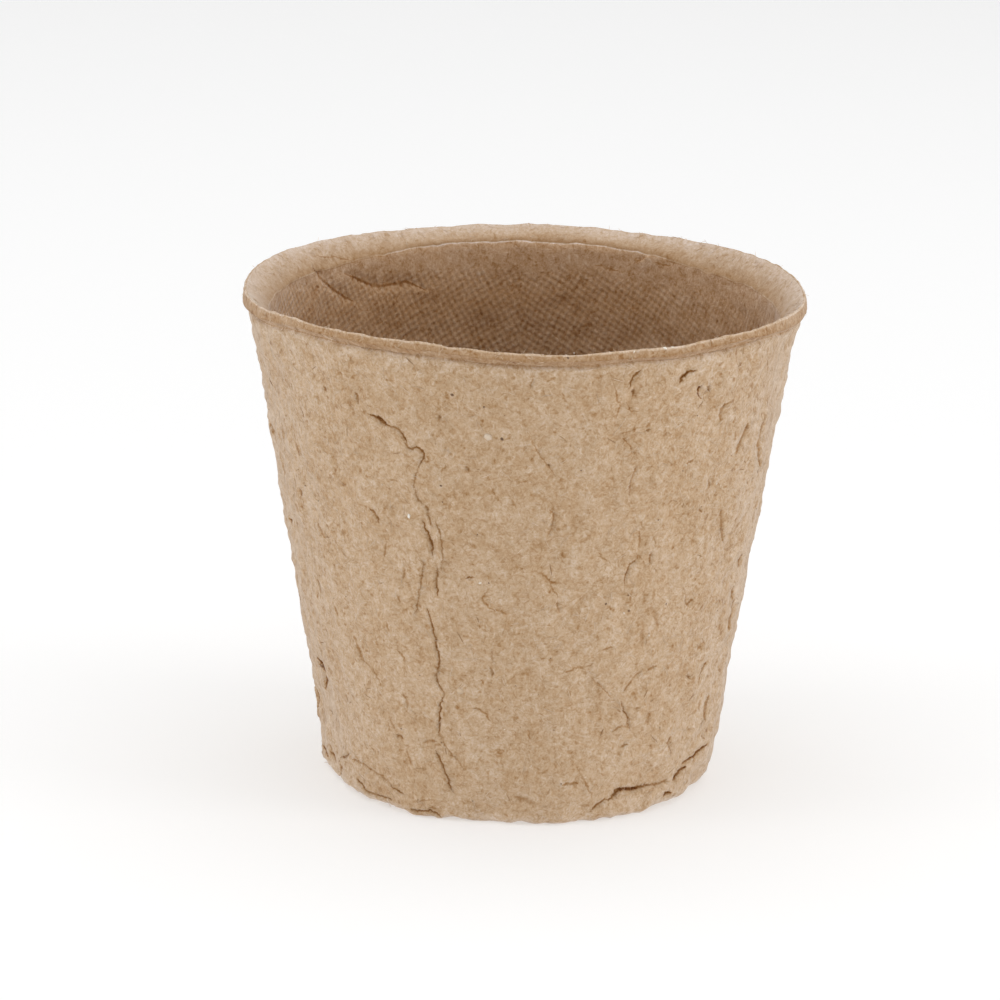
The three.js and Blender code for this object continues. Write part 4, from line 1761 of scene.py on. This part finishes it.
# %% [markdown]
# ## Floor and light
# A light tent has bright sides, a wide soft light overhead and one on either side. Here a white world
# that fades to dark above the horizon stands for the sides. The top light shapes the flare and the
# lumps of the wall, and hardly any light comes in from halfway up, so that the inside of the pot
# stays darker than its wall. The floor glows a little, as a lit table does.

# %% Build the floor and the lights
FLOOR_SIDE = 6.0
FLOOR_GLOW = 0.45
FLOOR_WHITE = (0.55, 0.55, 0.55, 1)
HORIZON_GLOW = 1.4
DARK_ABOVE = 0.6  # upward share of a direction past which the sky is dark
SOFT_LIGHTS = {  # place in metres, side in metres and power in watts
    "top_light": ((0.0, 0.0, 1.0), 1.5, 12.6),
    "right_light": ((0.9, -0.25, 0.3), 0.4, 2.55),
    "left_light": ((-0.9, -0.25, 0.3), 0.4, 2.0),
}


def make_floor():
    """A pale square floor that glows a little."""
    mesh = bpy.data.meshes.new("floor")
    half = FLOOR_SIDE / 2
    corners = [(-half, -half, 0), (half, -half, 0), (half, half, 0), (-half, half, 0)]
    mesh.from_pydata(corners, [], [(0, 1, 2, 3)])
    floor = bpy.data.objects.new("floor", mesh)
    bpy.context.scene.collection.objects.link(floor)
    material = bpy.data.materials.new("pale_floor")
    material.use_nodes = True
    shader = material.node_tree.nodes["Principled BSDF"]
    shader.inputs["Base Color"].default_value = FLOOR_WHITE
    shader.inputs["Roughness"].default_value = 0.9
    shader.inputs["Emission Color"].default_value = (1, 1, 1, 1)
    shader.inputs["Emission Strength"].default_value = FLOOR_GLOW
    mesh.materials.append(material)
    return floor


def make_sky():
    """A white world, bright at the horizon and below, and dark above."""
    world = bpy.data.worlds.new("light_tent")
    world.use_nodes = True
    tree = world.node_tree
    direction = add_node(tree, "ShaderNodeTexCoord").outputs["Generated"]
    strength = ramp(tree, separate(tree, direction)[2], 0.0, DARK_ABOVE, HORIZON_GLOW, 0.0)
    tree.nodes["Background"].inputs["Color"].default_value = (1, 1, 1, 1)
    tree.links.new(strength, tree.nodes["Background"].inputs["Strength"])
    return world


def add_soft_light(name, place, side, power):
    """A square lamp that faces the pot."""
    data = bpy.data.lights.new(name, "AREA")
    data.shape = "SQUARE"
    data.size = side
    data.energy = power
    light = bpy.data.objects.new(name, data)
    bpy.context.scene.collection.objects.link(light)
    light.location = place
    light.rotation_euler = (Vector(place) - AIM).to_track_quat("Z", "Y").to_euler()


make_floor()
bpy.context.scene.world = make_sky()
for name, (place, side, power) in SOFT_LIGHTS.items():
    add_soft_light(name, place, side, power)
bpy.context.scene.view_settings.view_transform = "Standard"
print("floor and lights ready")

# %% [markdown]
# ## The pieces
# Each piece rides on the one body, and the shell stands for all three solids, which are hidden.

# %% Finish
for piece in [shell, *fibre_pieces, *fleck_pieces]:
    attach(piece, "root")
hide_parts("rim", "wall", "base")
